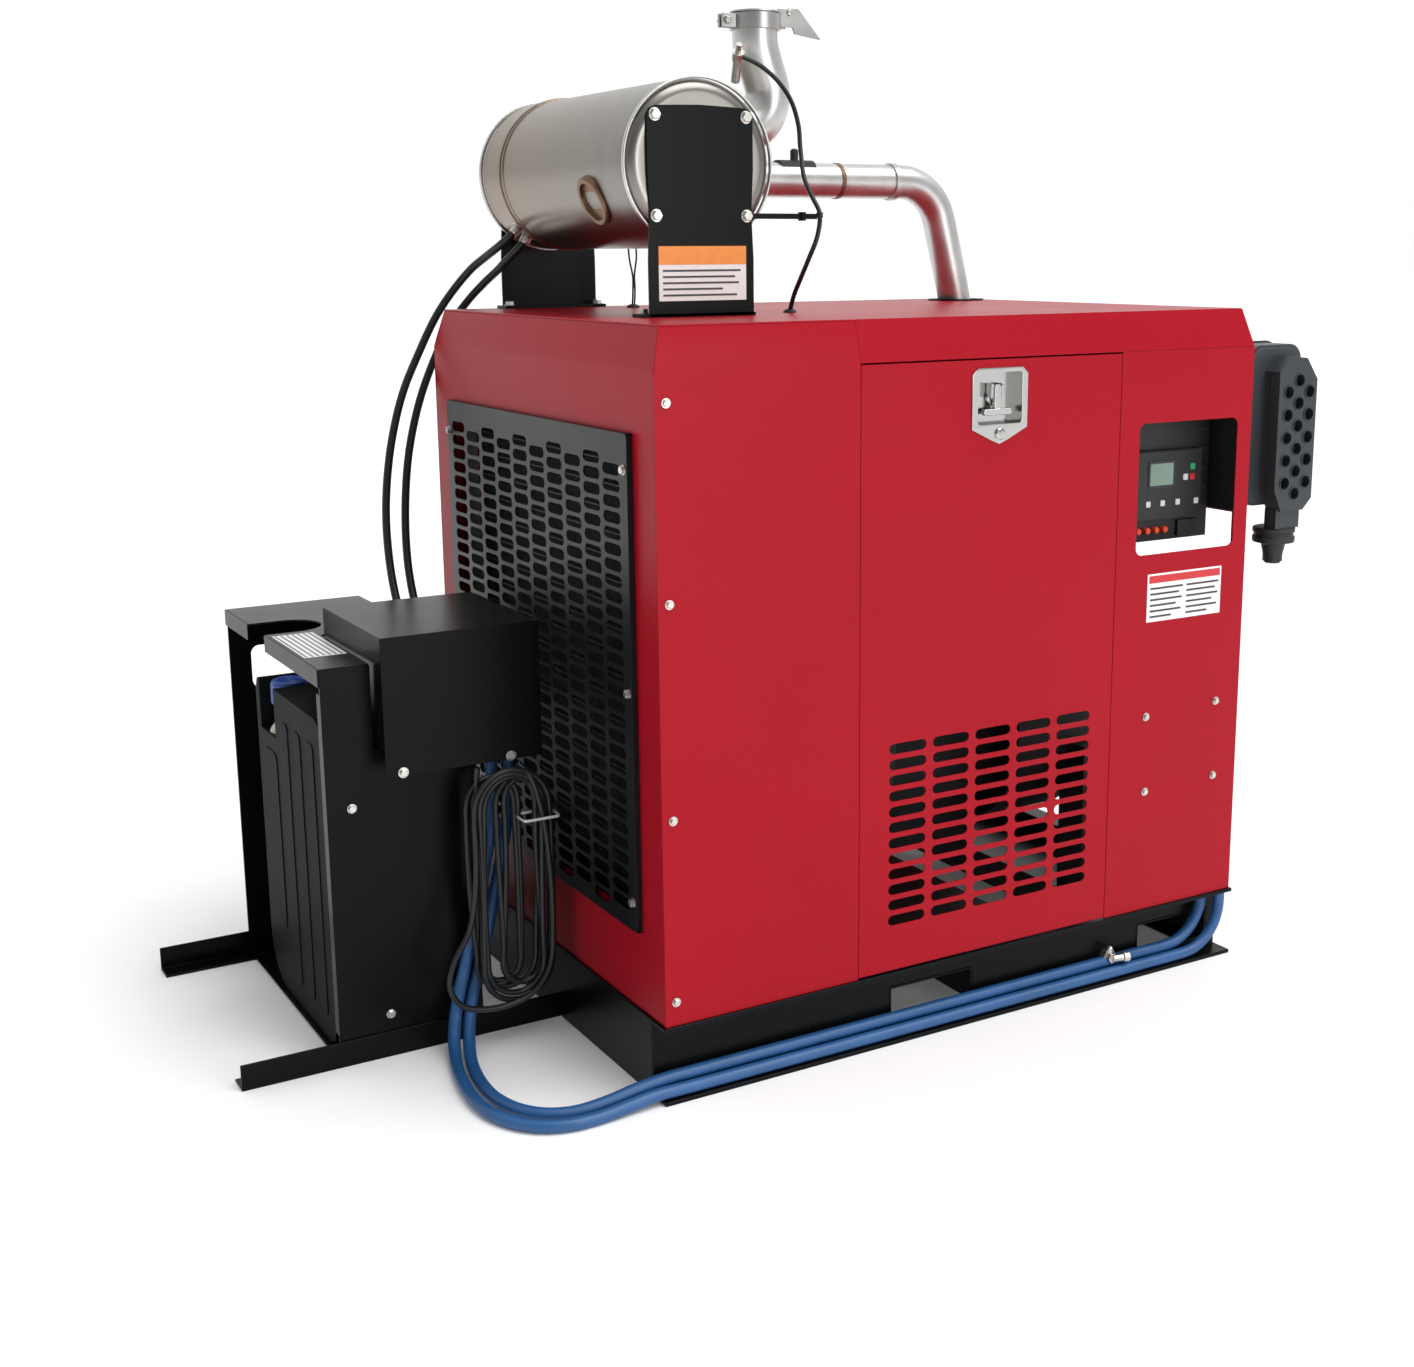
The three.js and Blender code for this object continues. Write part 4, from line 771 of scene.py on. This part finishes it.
for x in (152, 357):
    for y in (335, 966):
        bracket_bolts.bolt((x, y, FOOT_Z[1]), UP, 17, 23, 8)
bracket_bolts.done("bracket_bolts", ZINC)

INLET_LEAN = math.radians(15)
INLET_FOOT = 1345
elbow = [(x, INLET[0], z) for x, z in arc(1075, 1532, 114, 90, -75, 9)]
leg_x, _, leg_z = elbow[-1]
inlet_end = (leg_x + (leg_z - INLET_FOOT) * math.tan(INLET_LEAN), INLET[0], INLET_FOOT)
inlet = [(405, *INLET), (700, *INLET), (900, *INLET), *elbow, inlet_end]
pipe("inlet_tube", smooth_route(inlet, 6), 38, ALUMINISED, replaces="exhaust_inlet_pipe", sides=14)
collars = Shape().ring((1040, *INLET), RIGHT, 37, 42, 0, 15)
collars.turned((402, *INLET), RIGHT, [(47, 0), (47, 22), (44, 28), (38.5, 31), (0, 31)], 48)
collars.done("inlet_collars", ALUMINISED, bevel=1.2, segments=3)
weld = Shape().ring((894, *INLET), RIGHT, 37.5, 39.6, 0, 10)
weld.ring((431, *INLET), RIGHT, 37.5, 40, 0, 6)
weld.done("inlet_welds", BLUED, slot="aluminised_pipe", bevel=0.8)
strap = [(823, 1672), (830, 1684), (841, 1689), (859, 1689), (870, 1684), (877, 1672)]
saddle = Shape().prism("x", strap, 744, 833)
saddle.turned((790, INLET[0], 1688), UP, [(0, 0), (9, 0), (9, 22), (5, 26), (0, 26)], 24)
saddle.done("inlet_saddle", CAST, bevel=1.2)
Shape().ring((1238, INLET[0], ROOF_Z), UP, 50, 66, 0, 4).done("roof_pipe_rim", BLACK, bevel=1)

outlet_run = [(388, 1704), (440, 1712), *arc(461, 1795, 72, -75, 87, 7), (517, 1852),
              (OUTLET[0], 1892), (OUTLET[0], MOUTH_Z)]
outlet = [(x, OUTLET[1], z) for x, z in outlet_run]
pipe("outlet_tube", smooth_route(outlet, 6), 44.5, ALUMINISED,
     replaces="exhaust_outlet_pipe", sides=14)
# Painted shade: a dark disc across the pipe's top stands for its open bore
bore_shade = Shape().turned((*OUTLET, MOUTH_Z), UP, [(0, -0.3), (41, -0.3), (41, 0.4), (0, 0.4)], 48)
bore_shade.done("outlet_bore_shade", PRINT_AND_SHADE, slot="stainless")
collar = Shape().ring((*OUTLET, 1916), UP, 45, 50.5, 0, 30, 64)
for y in ((519, 526), (534, 541)):
    collar.box((428, 462), y, (1918, 1944))
for y in ((513, 518), (542, 547)):
    collar.box((550, 583), y, (1924, 1958))
collar.bolt((437, 519, 1931), FRONT, 13, 16, 6).bolt((437, 541, 1931), BACK, 13, 16, 6)
collar.screw((574, 513, 1951), FRONT, 6, 4).screw((574, 547, 1951), BACK, 6, 4)
collar.done("rain_cap_clamp", STEEL, slot="stainless", replaces="rain_cap_collar", bevel=0.7)
flap = Shape()
flap.turned((*OUTLET, 1947), UP, [(0, 0), (50, 0), (51, 1.5), (50, 4), (30, 7), (0, 8.5)], 64)
flap.box((506, 580), (519, 541), (1950, 1956))
flap.turned((574, 519, 1951), BACK, [(0, 0), (5, 0), (5, 22), (0, 22)], 20)
flap.prism("y", [(582, 1948), (596, 1914), (656, 1906), (604, 1962), (582, 1962)], 527, 533)
flap.done("rain_cap_lid", STEEL, body="rain_flap", slot="stainless", replaces="rain_cap_flap",
          bevel=0.8)
probe = [(0, -18), (6, -18), (6, 0), (12, 0), (12, 16), (9, 26), (9, 70), (0, 70)]
Shape().turned((437, 476, 1868), (0.3, 0.75, -0.8), probe, 24).done("outlet_sensor", ZINC)

# Air cleaner

case = Shape()
case.prism("y", rounded(1385, 1537, 966, 1299, 34, 8), 40, 296)
case.prism("y", rounded(1391, 1531, 972, 1293, 30, 8), 36, 300)
for z in (1010, 1230):
    case.box((1360.5, 1390), (90, 250), (z, z + 30))
case.turned((1360, 240, 1150), RIGHT, [(0, 12), (52, 12), (52, 30), (0, 30)], 40)
case.done("air_cleaner_case", GREY, replaces="air_cleaner_housing", bevel=2, segments=3)
ribs = Shape()
for y in (110, 190, 262):
    ribs.prism("y", rounded(1381, 1540, 962, 1303, 35, 8), y, y + 6)
ribs.done("air_cleaner_ribs", GREY, bevel=1.2)
SWIRL_PITCH, SWIRL_R = 47, 14
columns = [(1458, 1015, 5), (1488, 992, 6), (1518, 1015, 5)]  # X, lowest Z and count of swirl tubes
middles = [(x, z + SWIRL_PITCH * i) for x, z, count in columns for i in range(count)]
face_outline = [(1431, 1000), (1452, 956), (1516, 956), (1540, 980), (1540, 1228), (1508, 1272),
                (1470, 1276), (1431, 1246)]
Shape().prism("y", face_outline, 22, 35.7).done("precleaner_backing", PRINT_AND_SHADE)
tubes = Shape().box((1448, 1516), (4, 35.7), (918.3, 960))
for x, z in middles:
    tubes.ring((x, -5, z), BACK, 12.6, 14.6, -1.6, 26, 28)
    tubes.ring((x, 6, z), BACK, 5, 6.4, 0, 17, 20)
punched("precleaner_face", "y", face_outline, [circle(x, z, SWIRL_R, 18) for x, z in middles], -5, 24,
        GREY, replaces="air_precleaner", extra=tubes, edge=0.8)
VALVE = (1482, 40)
valve = Shape()
valve.turned((*VALVE, 840), UP,
             [(0, 0), (15, 0), (18, 3), (21, 22), (25, 40), (30, 44), (43, 46), (44, 50), (44, 58),
              (41, 60), (41, 66), (44, 68), (44, 76), (40, 78), (0, 78)], 48)
for x, y in circle(*VALVE, 19, 8):
    valve.box((x - 1.2, x + 1.2), (y - 1.2, y + 1.2), (844, 884))
valve.done("dust_valve_moulded", RUBBER, replaces="dust_valve", bevel=0.4)

# Controls behind the window

dress("control_box", MOULDED, 1.5)
MODULE_Y = 78  # the front of the control module's face
face = Shape().prism("y", rounded(1114, 1304, 952, 1090, 8), MODULE_Y, MODULE_Y + 2)
face.done("module_face", MOULDED, bevel=0.6)
screen = Shape().prism("y", rounded(1163, 1225, 1021, 1066, 2), MODULE_Y - 1.4, MODULE_Y)
screen.done("module_screen", SCREEN)
border = plate("y", rounded(1158, 1230, 1016, 1071, 4), [rounded(1162, 1226, 1020, 1067, 2.5)],
               MODULE_Y - 2, MODULE_Y)
settle(link("module_screen_border", border), GREY)
for body, node, x, z, look in (("start_key", "key_start", 1279, 1055, GREEN),
                               ("stop_key", "key_stop", 1279, 1034, STOP),
                               ("mode_key", "key_mode", 1260, 1034, PALE)):
    key = Shape().prism("y", rounded(x - 6.5, x + 6.5, z - 6.5, z + 6.5, 2), MODULE_Y - 1, MODULE_Y + 4)
    key.done(node + "_cap", look, body=body, replaces=node, bevel=0.6)
still = Shape()
for x, z in ((1160, 984), (1199, 984), (1240, 984), (1291, 983)):
    still.prism("y", rounded(x - 6, x + 6, z - 6, z + 6, 2), MODULE_Y - 1.6, MODULE_Y + 0.2)
still.done("module_lower_keys", PALE, bevel=0.4)
for body, node, x in (("breaker_one", "breaker_1", 1166), ("breaker_two", "breaker_2", 1190)):
    knob = Shape()
    knob.turned((x, 95, BREAKER_Z), FRONT, [(0, 0), (7, 0), (7, 12), (5.8, 15), (0, 15)], 24)
    knob.done(node + "_knob", BREAKER, body=body, replaces=node, bevel=0.4)
fixed = Shape()
for x in (1142, 1214):
    fixed.turned((x, 93, BREAKER_Z), FRONT, [(0, 0), (7, 0), (7, 9), (5.8, 12), (0, 12)], 24)
fixed.done("fixed_breakers", BREAKER)
blocks = Shape()
blocks.box((1250, 1300), (84, 92), (912, 944)).box((1056, 1098), (80, 92), (1000, 1080))
for z in (1010, 1050, 1090, 1130):
    blocks.bolt((1322, 92, z), FRONT, 8, 12, 4)
blocks.done("control_blocks", MOULDED, bevel=1.2)
# Painted shade inside the enclosure: a dark sheet beside the control box, and a dark pan under the
# engine
shade_sheets = Shape().box((1351, 1356.5), (6, 420), (962, 1290)).box((60, 880), (62, 962), (134, 138))
shade_sheets.done("inner_shade_sheets", MOULDED, bevel=0.6)

# Skid fittings

drain = Shape()
drain.turned((1050, 42, 48), FRONT, [(0, 0), (14, 0), (14, 10), (11, 12), (11, 30), (0, 30)], 6)
drain.turned((1050, 30, 48), FRONT, [(0, 0), (17, 0), (17, 8), (0, 8)], 6)
spout = [(0, 0), (8, 0), (8, 22), (11, 24), (11, 36), (7, 40), (0, 40)]
drain.turned((1050, 13, 48), (0.95, -0.2, 0), spout, 24)
drain.turned((1050, 24, 48), UP, [(0, 0), (7, 0), (7, 20), (4, 24), (0, 24)], 20)
drain.done("drain_valve", ZINC, bevel=0.6)

# Tank stand

STAND_X, STAND_Y = (-450, -165), (457.3, 1106.7)
STAND_TOP = 765
NOTCH_MIDDLE, NOTCH_R = (-385, FILLER[1]), 62
for node in ("stand_rail_front", "stand_rail_rear", "stand_tray"):
    dress(node, BLACK, 1.2)
for node in ("stand_side_front", "stand_side_rear"):
    dress(node, BLACK, 1.0)
notch = arc(*NOTCH_MIDDLE, NOTCH_R, 90, -180, 16)
notch = [(STAND_X[0], FILLER[1] + NOTCH_R), *notch, (STAND_X[0], FILLER[1] - NOTCH_R)]
(x0, x1), (y0, y1) = STAND_X, STAND_Y
top_outline = [(x0, y0), (-358, y0), (-358, 748), (x1, 748), (x1, y1), (x0, y1), *notch]
lip = Shape().box((-453, -449.9), (y0, 803.5), (732, 764)).box((-453, -449.9), (928.5, y1), (732, 764))
punched("stand_top_sheet", "z", top_outline, [], STAND_TOP - 3, STAND_TOP, BLACK,
        replaces="stand_top_plate", extra=lip, edge=0.7)
strip = Shape().box((-444, -364), (560, 780), (STAND_TOP + 0.1, STAND_TOP + 0.6))
strip.done("strip_label", WHITE)
stripes = Shape()
for i in range(7):
    left = -440 + 11 * i
    stripes.box((left, left + 3), (564, 776), (STAND_TOP + 0.5, STAND_TOP + 0.9))
stripes.done("strip_label_bars", PRINT_AND_SHADE)
hardware = Shape()
for x, z in ((-403, 498), (-350, 84), (-190, 84)):
    hardware.bolt((x, STAND_Y[0], z), FRONT, 13, 18, 6)
for x in (-320, -110):
    hardware.bolt((x, 405, 567), FRONT, 13, 20, 6)
for x, z in ((-429, 694), (-427, 538), (-401, 507), (-429, 422), (-200, 694), (-200, 422)):
    hardware.screw((x, STAND_Y[1], z), BACK, 8, 4)
hardware.done("stand_bolts", ZINC)

# The tank: a deep lower part, and shoulders that leave room for the filler neck
TANK_Y, TANK_Z = (512, 945), (10, 654)
SHOULDER, OVERLAP = 552, 1  # the neck's step, and how far the solids run into each other
TANK_FRONT = (-440, -355)
BELLY_R = 105
y0, y1, z0, z1 = *TANK_Y, *TANK_Z
near_foot = [(y0, z0 + 40), (y0 + 12, z0 + 12), (y0 + 40, z0)]
belly = arc(y1 - BELLY_R, z0 + BELLY_R, BELLY_R, -90, 90, 10)
near_top = [(y0 + 26, z1), (y0 + 8, z1 - 8), (y0, z1 - 26)]
far_top = [(y1, z1 - 26), (y1 - 8, z1 - 8), (y1 - 26, z1)]
tank = Shape()
tank.prism("x", [(y, min(z, 604)) for y, z in near_foot + belly + far_top + near_top], -355.6, -190)
join = SHOULDER + OVERLAP
tank.prism("x", [*near_foot, *belly, (y1, join), (y0, join)], *TANK_FRONT)
tank.prism("x", [(y0, SHOULDER), (815, SHOULDER), (815, z1), *near_top], *TANK_FRONT)
tank.prism("x", [(917, SHOULDER), (y1, SHOULDER), *far_top[:2], (y1 - 14, z1), (917, z1)], *TANK_FRONT)
tank.prism("x", [(750, SHOULDER), (y1, SHOULDER), *far_top, (750, z1)], -343, -190)
for y in (556, 640, 724):
    tank.prism("x", rounded(y, y + 46, 60, 600, 14), -442, -439)
tank.prism("x", rounded(812, 900, 150, 520, 20), -442, -439)
tank.done("tank_body", TANK, replaces="fluid_tank", bevel=5, segments=4)
neck = [(0, 0), (44, 0), (40, 8), (29, 22), (27, 40), (30, 44), (30, 48), (27, 50), (27, 57), (0, 57)]
Shape().turned((*FILLER, SHOULDER), UP, neck, 48).done("tank_neck", NECK)
ridges, valleys = circle(*FILLER, 38, 16), circle(*FILLER, 36.6, 16, start=11.25)
cap = Shape().prism("z", [point for pair in zip(ridges, valleys) for point in pair], 610, 650)
cap.turned((*FILLER, 650), UP, [(36.4, 0), (35.5, 4), (31, 7), (26, 7), (24, 4), (0, 4)], 32)
cap.prism("x", [(836, 653), (896, 653), (890, 659), (842, 659)], -397, -387)
cap.done("tank_cap_moulded", CAP, body="filler_cap", replaces="tank_cap", bevel=0.8)

dress("pump_cover", BLACK, 1.1)
dress("dosing_pump", MOULDED, 2.5)
plug = [(0, 0), (10, 0), (10, 22), (13, 24), (13, 34), (7, 40), (0, 40)]
plugs, clamps = Shape(), Shape()
for x, z in ((-178, 600), (-206, 598), (-236, 600)):
    plugs.turned((x, 452, z), DOWN, plug, 24)
for x, y, _ in (HOSE_A[0], HOSE_B[0]):
    plugs.turned((x, y, 600), DOWN, [(0, 0), (17, 0), (17, 26), (14, 30), (0, 30)], 28)
    clamps.ring((x, y, 566), DOWN, 12, 14.2, 0, 10, 32)
plugs.done("pump_plugs", MOULDED, bevel=0.8)
clamps.done("hose_clamps", ZINC, bevel=0.4)

# Ties, grommets and small leads

tie = plate("z", rounded(-106, -32, 359, 412, 8), [rounded(-104.5, -33.5, 360.5, 410.5, 7)], 446, 451,
            edge=0.3)
settle(link("hank_tie", tie), PALE)
Shape().ring((-10, 450, 425), BACK, 12, 22, -4, 6, 32).done("pass_ring", GREY, bevel=1.5)
grommets = Shape()
grommets.turned((492, 380, 1376.2), UP, [(0, 0), (13, 0), (13, 2), (9, 6), (5, 7), (0, 7)], 32)
grommets.turned((386, 850, 1376.2), UP, [(0, 0), (14, 0), (14, 2), (10, 6), (6, 7), (0, 7)], 32)
for z in (1556, 1561):
    grommets.ring((513, 304, z), (0.1, 0.1, 1), 4.5, 6.5, 0, 3, 24)
grommets.done("lead_grommets", RUBBER)
REAR_A = [(377, 850, 1516), (379, 850, 1480), (386, 849, 1440), (386, 850, 1410), (384, 850, 1380)]
REAR_B = [(395, 850, 1510), (396, 850, 1482), (391, 851, 1444), (391, 850, 1412), (389, 850, 1380)]
cord("lead_rear_a", smooth_route(REAR_A, 8), 4, CONDUIT, sides=5)
cord("lead_rear_b", smooth_route(REAR_B, 8), 4, CONDUIT, sides=5)

# Studio: a pale floor, a white surround and soft light from the upper left

floor_mesh = bpy.data.meshes.new("floor")
floor_mesh.from_pydata([(-60, -60, 0), (60, -60, 0), (60, 60, 0), (-60, 60, 0)], [], [(0, 1, 2, 3)])
floor = link("floor", floor_mesh)
PAPER = material("floor_paper", (0.9, 0.9, 0.9), 0.9, mottle=0.01, specular=0.1)
glowing = PAPER.node_tree.nodes["Principled BSDF"].inputs
glowing["Emission Color"].default_value = (1, 1, 1, 1)
glowing["Emission Strength"].default_value = 0.05
floor.data.materials.append(PAPER)

# The world is white to the camera, and brighter on one side for everything that it lights
world = bpy.data.worlds.new("studio")
world.use_nodes = True
bpy.context.scene.world = world
tree = world.node_tree
sky = tree.nodes["Background"]
place = tree.nodes.new("ShaderNodeTexCoord")
facing = tree.nodes.new("ShaderNodeVectorMath")
facing.operation = "DOT_PRODUCT"
facing.inputs[1].default_value = (0.35, 0.75, 0.4)
tree.links.new(place.outputs["Generated"], facing.inputs[0])
glow = tree.nodes.new("ShaderNodeMapRange")
glow.inputs["From Min"].default_value = -0.9
glow.inputs["From Max"].default_value = 0.95
glow.inputs["To Min"].default_value = 0.12
glow.inputs["To Max"].default_value = 1.1
tree.links.new(facing.outputs["Value"], glow.inputs["Value"])
seen = tree.nodes.new("ShaderNodeLightPath")
brighter = tree.nodes.new("ShaderNodeMath")
brighter.operation = "MAXIMUM"
tree.links.new(glow.outputs["Result"], brighter.inputs[0])
tree.links.new(seen.outputs["Is Camera Ray"], brighter.inputs[1])
tree.links.new(brighter.outputs["Value"], sky.inputs["Strength"])
sky.inputs["Color"].default_value = (1, 1, 1, 1)


def lamp(name, kind, power, place, aim, **settings):
    light = bpy.data.lights.new(name, kind)
    light.energy = power
    for key, value in settings.items():
        setattr(light, key, value)
    obj = link(name, light)
    obj.location = place
    obj.rotation_euler = (Vector(aim) - Vector(place)).to_track_quat("-Z", "Y").to_euler()


lamp("key", "SUN", 2.05, (2.0, -2.4, 6), (0, 0, 0.8), angle=math.radians(45))
lamp("front", "AREA", 95, (1.2, -6, 2.0), (0, 0, 0.8), size=2.5)
bpy.context.scene.view_settings.view_transform = "Standard"
